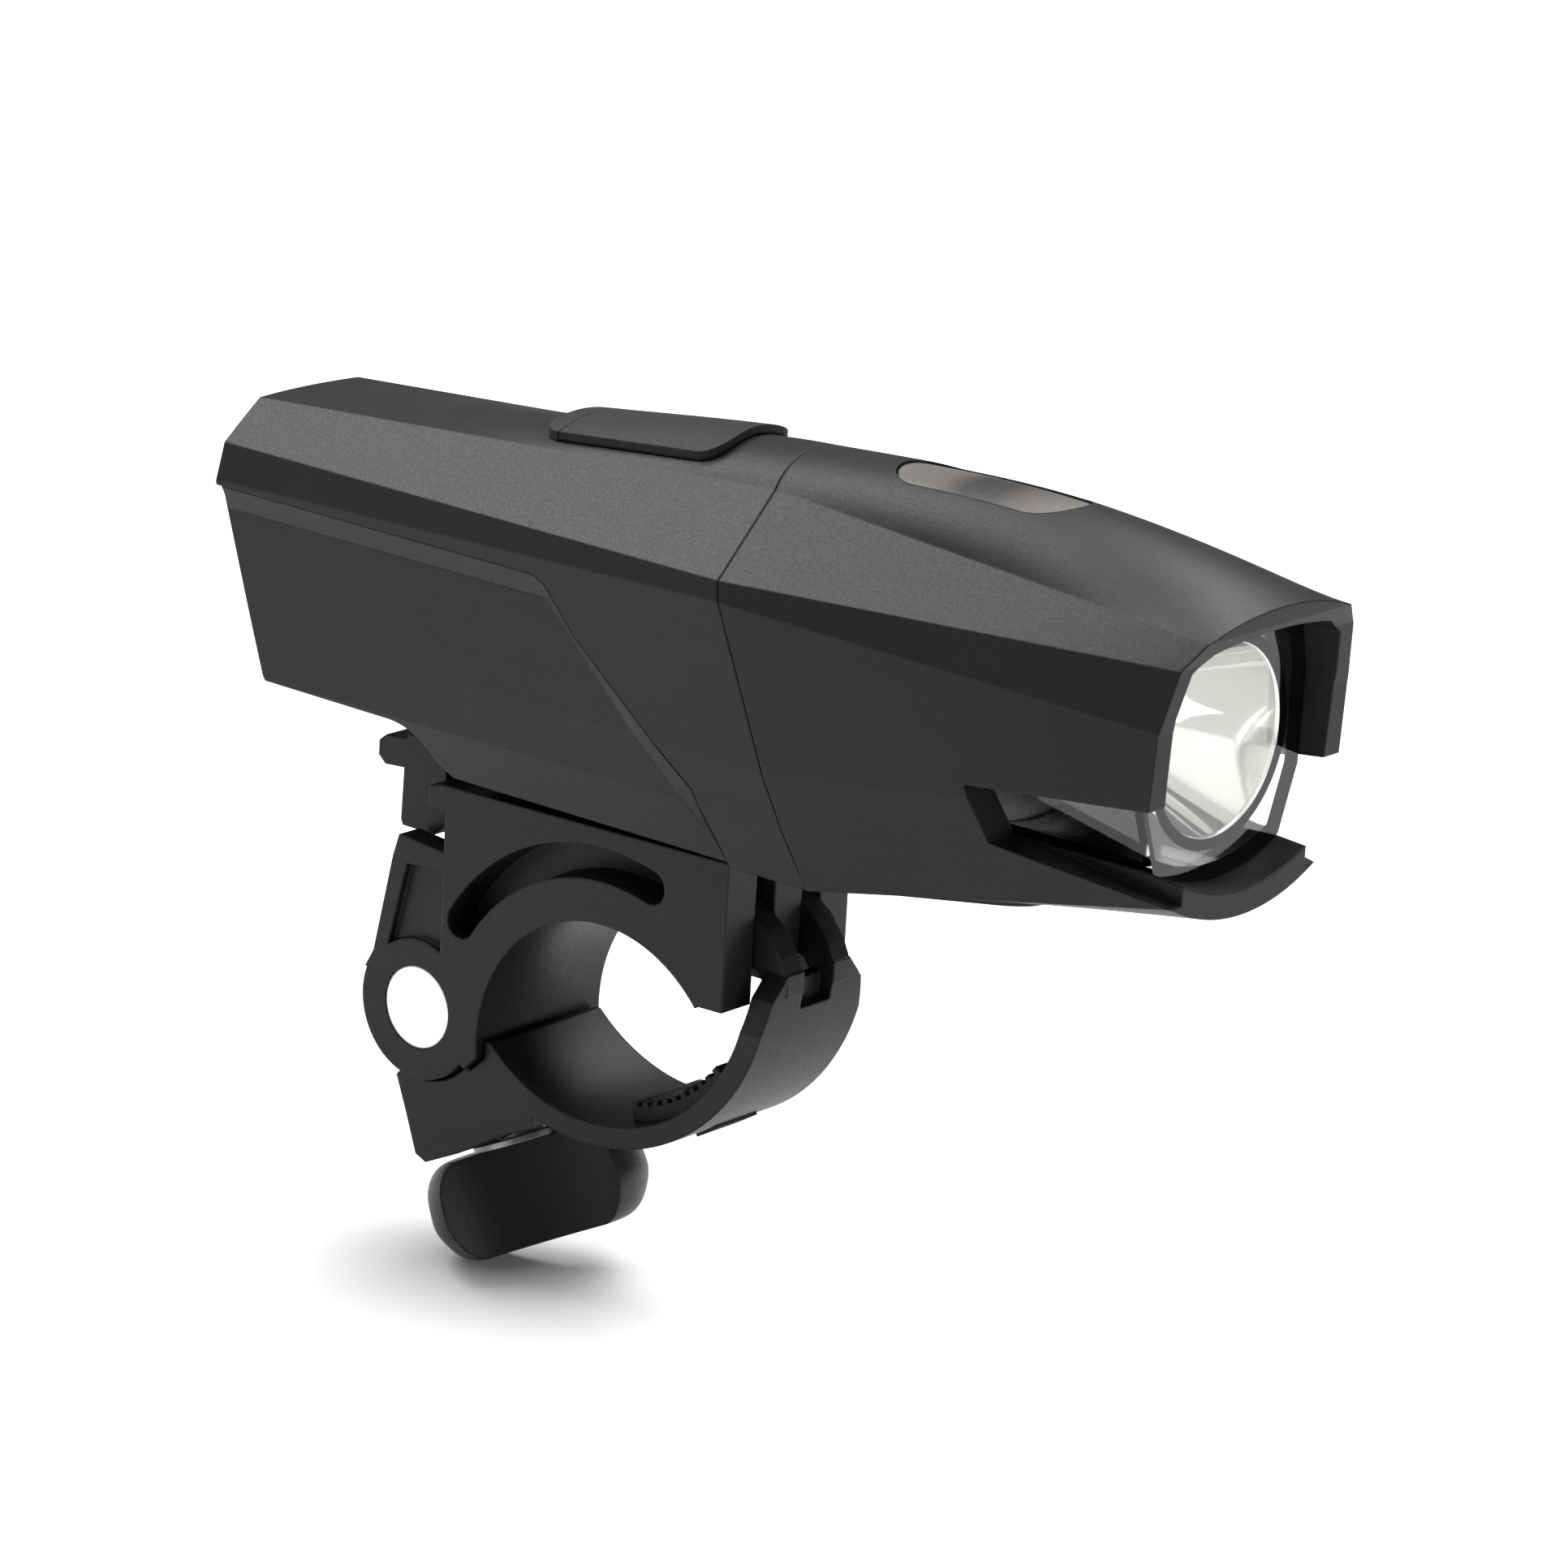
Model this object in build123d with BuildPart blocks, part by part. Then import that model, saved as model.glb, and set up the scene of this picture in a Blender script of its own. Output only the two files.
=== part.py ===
from build123d import *
import math
import os

# Bike headlight on a handlebar clamp. Millimetres, +Z up, +X the way the beam goes.
# The origin is the centre of the clamp's saddle, on the light's mid-plane.

# Shared clearances and the overrun of cuts
FIT = 0.1
PLAY = 0.15
RUN = 0.3
OVER = 4.0
BIG = 60.0
ABOVE = 80.0

# Shells. A row of shares is (of the half-width, of the height from floor to ridge), ridge first
WALL = 2.0
SEAM_HALF = 17.7
SEAM_RIDGE = 62.7
SEAM_FLOOR = 26.55
SEAM_CROWN = 2.95
SEAM_TOP_X = 17.0
SEAM_FLOOR_X = 27.5
SEAM_SHARES = [(0.41, 1.0), (0.975, 0.815), (1.0, 0.763), (0.88, 0.32), (0.8, 0.17), (0.68, 0.01)]
REAR_X = -54.0
REAR_HALF = 13.0
REAR_RIDGE = 58.2
REAR_FLOOR = 25.85
REAR_CROWN = 0.15
REAR_SHARES = [(0.54, 1.0), (0.93, 0.89), (1.0, 0.77), (0.96, 0.34), (0.945, 0.16), (0.79, 0.01)]
REAR_STATION_SHARES = [(0.35, 0.68), (0.72, 0.13)]
FRONT_X = 72.0
FRONT_HALF = 15.1
FRONT_RIDGE = 59.95
FRONT_FLOOR = 32.8
FRONT_CROWN = 1.1
FRONT_SHARES = [(0.725, 1.0), (0.852, 0.92), (0.937, 0.7), (0.955, 0.445), (0.835, 0.27), (0.72, 0.11)]
HEAD_PEAK = 5.1
HEAD_STATION_SHARES = [(0.24, 0.87), (0.5, 1.0), (0.75, 0.84)]
SEAM_GAP = 0.15
SEAL_STEP = 0.7
SEAL_DEPTH = 1.0

# Rear end of the light, leaning forward towards its foot and bowed in plan
END_LEAN = 7.0
END_BOW = 2.0
END_REACH = 16.0
END_X = -51.5
END_SHARES = [(0.25, 1.2), (0.1, 1.0), (0.0, 0.77), (0.85, 0.18), (1.0, 0.13), (1.1, -0.2)]
PANEL_DEPTH = 1.0
PANEL_TOP = 51.3
PANEL_TURN_X = -5.5
PANEL_FOOT_X = 17.5
PANEL_SHARES = [(0.0, 1.0), (0.08, 0.97), (0.24, 0.8), (0.87, 0.31), (1.0, 0.02)]
STEP_X = -16.8
STEP_LENGTH = 10.2
STEP_RISE = 5.3

# Rim, hood and side windows
RIM_TOP_X = 70.2
RIM_TOP_Z = 60.05
RIM_LOW_X = 67.6
RIM_LOW_Z = 44.4
RIM_SHARES = [(0.56, 0.853), (0.15, 0.466)]
CHIN_X = 68.3
WINDOW_REAR = 48.3
WINDOW_TOP = 42.6
WINDOW_LOW = 37.3
WINDOW_RISE = 2.1
WINDOW_DROP = 2.3
WINDOW_INNER = 9.4

# Lens and the chamber behind it
LENS_HALF = 12.0
LENS_TOP = 58.4
LENS_FLOOR = 34.9
LENS_CROWN = 0.8
LENS_SHARES = [(0.72, 1.0), (0.92, 0.94), (1.0, 0.77), (1.0, 0.51), (0.99, 0.37), (0.8, 0.1)]
LENS_X = 65.0
LENS_THICK = 1.5
LENS_WALL = 1.3
LENS_FLANGE = 1.2
SHOULDER_X = 46.4
FLARE = 0.7
BEAM_Z = 47.9
SEAL_THICK = 0.8
PLATE_THICK = 2.0
MIRROR_RADIUS = 9.2
MIRROR_FLANGE = 10.4
MIRROR_FOCUS = 1.6
MIRROR_WALL = 1.0
THROAT_RADIUS = 2.8
LED_SIZE = 3.4
LED_BASE = 0.6
DOME_RADIUS = 1.4
LED_BOARD_RADIUS = 8.0
LED_BOARD_THICK = 1.6
FIN_LENGTH = 8.0
FIN_THICK = 1.2
FIN_PITCH = 3.6
FIN_COUNT = 5
FIN_HEIGHT = 16.0

# Button and the board under it
BUTTON_X = 37.0
BUTTON_LENGTH = 20.5
BUTTON_WIDTH = 8.0
BUTTON_SINK = 0.3
BUTTON_GAP = 0.2
BUTTON_TRAVEL = 0.6
COLLAR_DROP = 0.2
COLLAR_TOP = SEAM_RIDGE - COLLAR_DROP
COLLAR_THICK = 0.7
COLLAR_LENGTH = 18.0
COLLAR_WIDTH = 9.8
BOARD_REAR = -8.0
BOARD_LENGTH = 48.0
BOARD_HALF = 7.0
BOARD_DROP = 4.7
BOARD_TOP = SEAM_RIDGE - BOARD_DROP
BOARD_THICK = 1.2
SWITCH_SIZE = 4.0
SWITCH_HEIGHT = 1.8
SWITCH_NUB = 0.5
SWITCH_NUB_RADIUS = 0.9
STEM_RADIUS = 1.5
BOOT_RADIUS = 3.9
BOOT_WALL = 0.9
BOOT_HEIGHT = 2.4
POST_X = 24.0
POST_Y = 4.5
POST_RADIUS = 1.8
LAMP_LENGTH = 1.6
LAMP_WIDTH = 0.8
LAMP_HEIGHT = 0.7
LAMP_PITCH = 1.9
LAMP_SETBACK = 9.0
LAMP_COUNT = 3
CONTACT_GAP = 0.05
CHIP_LENGTH = 6.0
CHIP_HEIGHT = 1.6
CHIP_X = 8.0

# Rubber cover and charging socket
COVER_REAR = -14.0
COVER_LENGTH = 22.5
COVER_HALF = 6.0
COVER_PROUD = 1.0
COVER_ROUND = 2.5
ANCHOR_LENGTH = 2.5
ANCHOR_STUD = 0.9
ANCHOR_HEAD = 2.0
ANCHOR_HEAD_HEIGHT = 0.8
SOCKET_X = 1.0
SOCKET_LENGTH = 9.0
SOCKET_WIDTH = 3.3
SOCKET_WALL = 0.35
SOCKET_MARGIN = 0.6
SOCKET_HEIGHT = 3.3
PLUG_GAP = 0.6
ANCHOR_SINK = 2.3
TONGUE_THICK = 0.7

# Battery
CELL_RADIUS = 9.2
CELL_LENGTH = 65.0
CELL_REAR = -41.5
CELL_Z = 43.6
CELL_FLOOR = 32.7
TAB_WIDTH = 5.0
TAB_THICK = 0.3
PAD_LENGTH = 10.0
PAD_HALF = 6.0
PAD_GAP = 2.5
PAD_SHARES = [0.12, 0.6]
PAD_DEPTH = 7.0
CELL_TIP_RADIUS = 3.0
CELL_TIP = 0.8

# Slide under the light
FOOT_REAR = -18.3
FOOT_FRONT = 18.0
FOOT_HALF = 8.5
FOOT_BOTTOM = 26.2
FOOT_TOP = 31.0
RAIL_REAR = -18.0
RAIL_FRONT = 14.0
RAIL_NECK = 4.6
RAIL_HEAD = 6.5
RAIL_UNDER = 27.55
RAIL_TOP = 29.15
NOTCH_DEPTH = 1.3
FOOT_SCREW_X = 16.2
FOOT_SCREW_Y = 6.0
FOOT_BOSS = 2.2
FOOT_BOSS_TOP = 34.8
TIE_REACH = 40.0
TIE_LIFT = 0.7
TIE_HALF = 8.0

# Screws: radius of the shank and of the head, height of the head
SCREW_RADIUS = 0.9
SCREW_HEAD = 1.6
SCREW_HEAD_HEIGHT = 0.8
SOCKET_DRIVE = 0.8
SOCKET_DRIVE_DEPTH = 0.5
TIE_SCREW_X = 35.0
TIE_SCREW_Y = 5.5
TIE_TOWER = 2.5
TIE_SCREW_SINK = 1.0
SINK_SCREW_Y = 6.5
SINK_SCREW_Z = 33.0
SINK_EAR = 2.0
SINK_EAR_LOW = 31.6
SINK_EAR_HIGH = 34.2
SINK_SCREW_LENGTH = 7.0
COVER_STRIP_REAR = 31.0
COVER_STRIP_LENGTH = 18.0
COVER_STRIP_HALF = 8.0
COVER_STRIP_PROUD = 0.5
COVER_STRIP_SINK = 0.4

# Handlebar bracket
SADDLE_RADIUS = 16.0
BRACKET_HALF = 9.15
BRACKET_TOP_REAR = 25.1
BRACKET_TOP_FRONT = 26.0
BRACKET_REAR = -23.5
BRACKET_FRONT = 15.3
CHEEK_TIP = 11.0
POCKET_INNER = 20.3
POCKET_OUTER = 23.8
POCKET_START = 75.0
POCKET_END = 148.0
WEB_HALF = 4.6
NUT_X = -24.1
NUT_Z = 1.38
NUT_RADIUS = 4.2
BOSS_RADIUS = 7.45
BLOCK_TOP = 18.7
BLOCK_DISH = 0.8
BLOCK_SLOT_HALF = 6.2
BLOCK_SLOT_FLOOR = 14.6
SADDLE_END_Z = -1.9
DISH_CIRCLE = 7.0
BRACKET_NECK_X = -21.3
HINGE_X = 12.2
HINGE_Z = 18.2
PIN_RADIUS = 1.25
TONGUE_HALF = 2.0
TONGUE_LOW = 12.6
CHEEK_INNER = 4.9
FORK_DEPTH = 9.0
FORK_TOP = 24.0
LINER_THICK = 1.2
LINER_HALF = 7.0
LINER_SPREAD = 34.0
RIB_PITCH = 2.4
RIB_WIDTH = 1.0
RIB_DEPTH = 0.5
CHEEK_SHARE = 0.8
BOSS_TOE = 1.5
BLOCK_FALL = 0.5
NOSE = 0.6
BLOCK_SHARES = [(0.97, 0.15), (0.83, 0.26), (0.54, 0.86), (0.44, 1.0)]
NOSE_SHARES = [(-1.0, 0.1), (0.2, 0.31), (0.0, 0.86), (-2.7, 1.0)]
DISH_SHARES = [(0.28, 0.84), (-0.38, 0.87), (-0.38, 0.1), (0.7, 0.1)]

# Release latch
LATCH_PIN_X = -4.0
LATCH_PIN_Z = 21.5
LATCH_PIN_RADIUS = 1.0
LATCH_PIN_HALF = 4.4
LATCH_EYE = 2.2
LATCH_ARM_HALF = 2.7
LATCH_HALF = 5.5
LATCH_LOW = 22.2
LATCH_HIGH = 24.4
LATCH_BODY_FRONT = -24.7
LATCH_REAR = -33.9
LATCH_BODY_LOW = 18.2
LATCH_BODY_TOP = 27.8
LATCH_TOE = 2.8
LATCH_TOE_SHARES = (0.06, 0.3)
LATCH_SHARES = [
    (0.0, 0.12),
    (0.14, 0.0),
    (0.61, 0.0),
    (0.64, 0.06),
    (0.62, 0.62),
    (0.9, 0.6),
    (1.0, 0.68),
    (1.0, 0.84),
    (0.9, 0.92),
    (0.6, 0.94),
    (0.56, 1.0),
    (0.0, 1.0),
]
TOOTH_X = -16.8
TOOTH_LENGTH = 2.0
TOOTH_TOP = 30.25
LATCH_SLOT_FLOOR = 18.6
LATCH_PLAY = 0.4
SPRING_X = -10.5
SPRING_RADIUS = 1.9
SPRING_WALL = 0.6

# Strap, bolt and knob
STRAP_OUTER = 22.1
STRAP_OUTER_X = -2.45
STRAP_OUTER_Z = 14.84
STRAP_INNER = 19.1
STRAP_INNER_X = -2.15
STRAP_INNER_Z = 14.0
STRAP_HALF = 8.2
STRAP_NARROW = 7.4
ARM_HALF = 4.65
ARM_INNER = 2.25
ARM_EYE = 2.8
SHOULDER_LOW = 9.0
SHOULDER_TOP = 14.8
SHOULDER_SHARES = [(1.0, 0.0), (0.72, 0.6), (0.0, 1.0)]
CROTCH_Z = 11.0
CROTCH_TOP = 13.4
CROTCH_WALL = 0.9
BOLT_LEAN = 26.0
BOLT_RADIUS = 2.4
BOLT_TIP = 1.0
BOLT_SLACK = 0.6
BOLT_SLOT_HALF = 2.9
BOLT_SLOT_BACK = 3.0
BOLT_SLOT_FRONT = 4.5
LUG_CLEAR = 0.4
LUG_FACE = 15.2
WASHER_RADIUS = 5.2
WASHER_THICK = 0.6
KNOB_TOP = 15.9
KNOB_HEIGHT = 10.3
KNOB_RADIUS = 11.2
KNOB_SHARES = [
    (0.74, 0.0),
    (0.9, 0.1),
    (0.98, 0.27),
    (1.0, 0.45),
    (1.0, 0.6),
    (0.94, 0.77),
    (0.84, 0.92),
    (0.7, 1.0),
]
SCOOP_RADIUS = 14.4
SCOOP_DISTANCE = 18.0
KNOB_TURN = 53.0
STRAP_PAD_THICK = 2.0
STRAP_PAD_HALF = 5.0
STRAP_PAD_START = -79.0
STRAP_PAD_END = -37.0
STRAP_RIB_PITCH = 1.3
STRAP_REAR = -30.0
TAPER_START = -8.0
TAPER_END = 16.0
LUG_REACH = 10.0
BAND_SHARES = [(-0.36, -1.5), (-0.36, -0.8), (0.4, -0.4), (0.78, 0.0), (1.2, 0.0), (1.2, -1.5)]
LUG_SHARES = [
    (0.97, -0.16),
    (0.86, -0.16),
    (0.5, -0.3),
    (0.0, -0.5),
    (-0.31, -0.79),
    (-0.33, -0.81),
    (-0.18, -1.18),
    (-0.03, -1.58),
    (0.12, -1.64),
    (0.37, -1.53),
    (0.88, -1.22),
    (1.14, -1.06),
    (1.51, -0.9),
    (1.51, -0.4),
]
ARM_SHARES = [
    (0.67, -0.75),
    (1.0, -0.75),
    (1.0, -0.5),
    (0.88, -0.24),
    (0.63, 0.07),
    (0.23, 0.33),
    (0.0, 0.0),
    (0.03, -0.4),
    (0.48, -0.51),
]
BOLT_HOLD = 6.0
STUD_DEPTH = 2.4
STUD_LENGTH = 3.0
STUD_HALF = 3.0


def upright(x):
    """Plane square to the beam at x, with its first axis along Y and its second up."""
    return Plane(origin=(x, 0, 0), x_dir=(0, 1, 0), z_dir=(1, 0, 0))


def side_profile(points):
    """Closed outline in the XZ plane, from (x, z) points."""
    with BuildSketch(Plane.XZ) as flat:
        with BuildLine():
            Polyline(points, close=True)
        make_face()
    return flat.sketch


def block(low, high, half, bottom, top, y=0.0, mode=Mode.ADD):
    """Box from low to high along X and from bottom to top, half wide on each side of y."""
    with Locations(((low + high) / 2, y, (bottom + top) / 2)):
        Box(high - low, 2 * half, top - bottom, mode=mode)


def brick(x, length, width, bottom, top, mode=Mode.ADD):
    """Box centred on x and on the mid-plane, from bottom to top."""
    with Locations((x, 0, (bottom + top) / 2)):
        Box(length, width, top - bottom, mode=mode)


def from_shares(shares, x, z, width, height):
    """Outline points in real sizes, from shares of a width and a height counted from (x, z)."""
    return [(x + width * along, z + height * up) for along, up in shares]


def disc(radius, x, bottom, top, y=0.0, mode=Mode.ADD):
    """Upright cylinder from bottom to top."""
    with Locations((x, y, (bottom + top) / 2)):
        Cylinder(radius, top - bottom, mode=mode)


def rod(radius, low, high, z, y=0.0, mode=Mode.ADD):
    """Cylinder along X from low to high."""
    with Locations(((low + high) / 2, y, z)):
        Cylinder(radius, high - low, rotation=(0, 90, 0), mode=mode)


def shaft(radius, x, z, low, high, mode=Mode.ADD):
    """Cylinder along Y from low to high."""
    with Locations((x, (low + high) / 2, z)):
        Cylinder(radius, high - low, rotation=(90, 0, 0), mode=mode)


# Frame of the seam, which leans back towards its top
SEAM_SLOPE = (SEAM_FLOOR_X - SEAM_TOP_X) / (SEAM_RIDGE - SEAM_FLOOR)
SEAM_LEAN = math.atan(SEAM_SLOPE)
SEAM_FOOT = SEAM_FLOOR_X + SEAM_FLOOR * SEAM_SLOPE
SEAM_STRETCH = 1 / math.cos(SEAM_LEAN)


def seam_x(z):
    return SEAM_FOOT - z * SEAM_SLOPE


def seam_plane(shift=0.0):
    return Plane(
        origin=(SEAM_FOOT + shift * SEAM_STRETCH, 0, 0),
        x_dir=(0, 1, 0),
        z_dir=(math.cos(SEAM_LEAN), 0, math.sin(SEAM_LEAN)),
    )


def spread(shares, half, floor, ridge):
    """Section points in real sizes from shares of the half-width and of the height."""
    return [(half * across, floor + (ridge - floor) * up) for across, up in shares]


SEAM_POINTS = spread(SEAM_SHARES, SEAM_HALF, SEAM_FLOOR, SEAM_RIDGE)
REAR_POINTS = spread(REAR_SHARES, REAR_HALF, REAR_FLOOR, REAR_RIDGE)
FRONT_POINTS = spread(FRONT_SHARES, FRONT_HALF, FRONT_FLOOR, FRONT_RIDGE)
LENS_POINTS = spread(LENS_SHARES, LENS_HALF, LENS_FLOOR, LENS_TOP)


def between(end_points, end_x, x):
    """Section points at x, on the straight lines from the seam's points to those of an end section."""
    points = []
    for (seam_y, seam_z), (end_y, end_z) in zip(SEAM_POINTS, end_points):
        share = (x - seam_x(seam_z)) / (end_x - seam_x(seam_z))
        points.append((seam_y + share * (end_y - seam_y), seam_z + share * (end_z - seam_z)))
    return points


def section(plane, points, crown, bottom, stretch=1.0, grow=0.0, narrow=0.0):
    """Closed section, symmetric about the mid-plane, with a curved crown and a curved bottom."""
    right = [(y - narrow, z * stretch) for y, z in points]
    left = [(-y, z) for y, z in reversed(right)]
    with BuildSketch(plane) as face:
        with BuildLine():
            ThreePointArc(left[-1], (0, (points[0][1] + crown) * stretch), right[0])
            Polyline(right)
            ThreePointArc(right[-1], (0, bottom * stretch), left[0])
            Polyline(left)
        make_face()
        if grow:
            offset(amount=grow, kind=Kind.INTERSECTION)
    return face.sketch


def shell_form(end, stations, grow=0.0, narrow=0.0):
    """Loft from the seam to an end section, through stations given as (way to the end, crown's rise)."""
    end_points, end_x, end_floor, end_crown = end
    faces = [section(seam_plane(), SEAM_POINTS, SEAM_CROWN, SEAM_FLOOR, SEAM_STRETCH, grow, narrow)]
    for way, rise in stations + [(1, end_crown)]:
        x = SEAM_TOP_X + way * (end_x - SEAM_TOP_X)
        share = (x - SEAM_FLOOR_X) / (end_x - SEAM_FLOOR_X)
        floor = SEAM_FLOOR + share * (end_floor - SEAM_FLOOR)
        points = between(end_points, end_x, x)
        faces.append(section(upright(x), points, rise, floor, 1.0, grow, narrow))
    with BuildPart() as form:
        loft(sections=[face.face() for face in faces])
    return form.part


REAR_END = (REAR_POINTS, REAR_X, REAR_FLOOR, REAR_CROWN)
HEAD_END = (FRONT_POINTS, FRONT_X, FRONT_FLOOR, FRONT_CROWN)
REAR_STATIONS = [(way, rise * SEAM_CROWN) for way, rise in REAR_STATION_SHARES]
HEAD_STATIONS = [(way, rise * HEAD_PEAK) for way, rise in HEAD_STATION_SHARES]


def end_trim(shift):
    """All that lies behind the bowed rear end, moved forward by shift."""
    height = REAR_RIDGE - REAR_FLOOR
    faces = []
    for side in (-1, 0, 1):
        bow = shift + END_BOW * abs(side)
        curve = [(END_X + bow + END_LEAN * lean, REAR_FLOOR + height * up) for lean, up in END_SHARES]
        back = [(REAR_X - OVER, curve[-1][1]), (REAR_X - OVER, curve[0][1])]
        with BuildSketch(Plane.XZ.offset(side * END_REACH)) as face:
            with BuildLine():
                Polyline(curve + back, close=True)
            make_face()
        faces.append(face.sketch.face())
    with BuildPart() as trim:
        loft(sections=faces)
    return trim.part


def step_trim(rise):
    """All that lies under the stepped bottom of the rear shell, moved up by rise."""
    low = REAR_FLOOR - OVER
    floor = REAR_FLOOR + rise
    mid = (STEP_X - STEP_LENGTH / 2, floor + STEP_RISE / 2)
    with BuildSketch(Plane.XZ) as flat:
        with BuildLine():
            start = (STEP_X, floor)
            end = (STEP_X - STEP_LENGTH, floor + STEP_RISE)
            TangentArc(start, mid, tangent=(-1, 0))
            TangentArc(end, mid, tangent=(1, 0))
            Polyline(end, (REAR_X - OVER, end[1]), (REAR_X - OVER, low), (STEP_X, low), start)
        make_face()
    with BuildPart() as trim:
        extrude(flat.sketch, amount=BIG, both=True)
    return trim.part


# Rear housing: hollow shell with stepped side panels, a pocket for the slide and a tie into the head
panel_drop = PANEL_TOP - SEAM_FLOOR
panel_fold = from_shares(PANEL_SHARES, PANEL_TURN_X, SEAM_FLOOR, PANEL_FOOT_X - PANEL_TURN_X, panel_drop)
panel_region = [(REAR_X - OVER, PANEL_TOP - PANEL_DEPTH)] + panel_fold
panel_region += [(PANEL_FOOT_X, SEAM_FLOOR - OVER), (REAR_X - OVER, SEAM_FLOOR - OVER)]
rear_outer = shell_form(REAR_END, REAR_STATIONS)
rear_core = shell_form(REAR_END, REAR_STATIONS, narrow=PANEL_DEPTH)
rear_space = shell_form(REAR_END, REAR_STATIONS, grow=-WALL, narrow=PANEL_DEPTH)

with BuildPart() as panel_recess:
    extrude(side_profile(panel_region), amount=BIG, both=True)
    add(rear_core, mode=Mode.SUBTRACT)

with BuildPart() as rear_cavity:
    add(rear_space)
    add(end_trim(WALL), mode=Mode.SUBTRACT)
    block(REAR_X - OVER, FOOT_FRONT + WALL, BIG, 0, CELL_FLOOR, mode=Mode.SUBTRACT)


def prism(outline, bottom=0.0, top=ABOVE):
    """Upright prism over a flat outline."""
    with BuildPart() as column:
        extrude(Plane.XY.offset(bottom) * outline, amount=top - bottom)
    return column.part


def slot_outline(x, length, width):
    with BuildSketch() as flat:
        with Locations((x, 0)):
            SlotOverall(length, width)
    return flat.sketch


def rounded_outline(low, length, half, radius):
    with BuildSketch() as flat:
        with Locations((low + length / 2, 0)):
            RectangleRounded(length, 2 * half, radius)
    return flat.sketch


def lens_section(x, grow=0.0):
    return section(upright(x), LENS_POINTS, LENS_CROWN, LENS_FLOOR, 1.0, grow)


def floor_at(x):
    """Height of the head's underside on the mid-plane."""
    share = (x - SEAM_FLOOR_X) / (FRONT_X - SEAM_FLOOR_X)
    return SEAM_FLOOR + share * (FRONT_FLOOR - SEAM_FLOOR)


tie_bottom = floor_at(TIE_REACH) + WALL + TIE_LIFT


def ridge_at(x):
    """Height of the rear shell's upper edges, from which its crown rises."""
    share = (x - SEAM_TOP_X) / (REAR_X - SEAM_TOP_X)
    return SEAM_RIDGE + share * (REAR_RIDGE - SEAM_RIDGE)


def up(form, rise):
    return form.moved(Location((0, 0, rise)))


port_length = SOCKET_LENGTH + 2 * SOCKET_MARGIN
port_width = SOCKET_WIDTH + 2 * SOCKET_MARGIN
anchor_x = COVER_REAR + ANCHOR_LENGTH / 2
anchor_low = ridge_at(anchor_x) - ANCHOR_SINK
with BuildPart() as rear_housing:
    add(rear_outer)
    add(panel_recess.part, mode=Mode.SUBTRACT)
    add(end_trim(0), mode=Mode.SUBTRACT)
    add(step_trim(0), mode=Mode.SUBTRACT)
    add(rear_cavity.part, mode=Mode.SUBTRACT)
    with BuildSketch(seam_plane(-SEAM_GAP)):
        Rectangle(BIG, ABOVE + ABOVE)
    extrude(amount=OVER, mode=Mode.SUBTRACT)
    for side in (-1, 1):
        disc(FOOT_BOSS, FOOT_SCREW_X, CELL_FLOOR, FOOT_BOSS_TOP, side * FOOT_SCREW_Y)
    block(FOOT_FRONT + WALL / 2, TIE_REACH, TIE_HALF, tie_bottom, CELL_FLOOR)
    block(FOOT_REAR - OVER - OVER, FOOT_FRONT + FIT, FOOT_HALF + FIT, 0, FOOT_TOP, mode=Mode.SUBTRACT)
    brick(SOCKET_X, port_length, port_width, BOARD_TOP, ABOVE, mode=Mode.SUBTRACT)
    for side in (-1, 1):
        disc(SCREW_RADIUS + FIT, FOOT_SCREW_X, 0, FOOT_BOSS_TOP, side * FOOT_SCREW_Y, mode=Mode.SUBTRACT)
        disc(SCREW_RADIUS + FIT, TIE_SCREW_X, 0, CELL_FLOOR, side * TIE_SCREW_Y, mode=Mode.SUBTRACT)
    disc(ANCHOR_STUD + FIT, anchor_x, BOARD_TOP, ABOVE, mode=Mode.SUBTRACT)

# Slide foot: a closed-front channel with a groove for the catch's tooth
with BuildPart() as mounting_foot:
    block(FOOT_REAR, FOOT_FRONT, FOOT_HALF, FOOT_BOTTOM, FOOT_TOP)
    slot_end = RAIL_FRONT + RUN
    block(FOOT_REAR - OVER, slot_end, RAIL_NECK + RUN, 0, RAIL_TOP + PLAY, mode=Mode.SUBTRACT)
    block(FOOT_REAR - OVER, slot_end, RAIL_HEAD + RUN, RAIL_UNDER - PLAY, RAIL_TOP + PLAY, mode=Mode.SUBTRACT)
    tooth_end = TOOTH_X + TOOTH_LENGTH + LATCH_PLAY
    roof = RAIL_TOP + PLAY
    block(FOOT_REAR - OVER, tooth_end, LATCH_ARM_HALF + RUN, roof, roof + NOTCH_DEPTH, mode=Mode.SUBTRACT)
    for side in (-1, 1):
        y = side * FOOT_SCREW_Y
        disc(SCREW_RADIUS + FIT, FOOT_SCREW_X, 0, FOOT_TOP, y, mode=Mode.SUBTRACT)
        disc(SCREW_HEAD - FIT, FOOT_SCREW_X, 0, FOOT_BOTTOM + SCREW_HEAD_HEIGHT + FIT, y, mode=Mode.SUBTRACT)


def upright_screws(x, y, bottom, top, head=SCREW_HEAD):
    """Pair of screws driven from below, with a hexagonal recess in each head."""
    with BuildPart() as pair:
        for side in (-1, 1):
            disc(head, x, bottom, bottom + SCREW_HEAD_HEIGHT, side * y)
            disc(SCREW_RADIUS, x, bottom, top, side * y)
            with BuildSketch(Plane.XY.offset(bottom)):
                with Locations((x, side * y)):
                    RegularPolygon(SOCKET_DRIVE, 6)
            extrude(amount=SOCKET_DRIVE_DEPTH, mode=Mode.SUBTRACT)
    return pair


foot_head = SCREW_HEAD - 2 * FIT
foot_screws = upright_screws(FOOT_SCREW_X, FOOT_SCREW_Y, FOOT_BOTTOM + FIT, FOOT_BOSS_TOP - FIT, foot_head)

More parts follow.
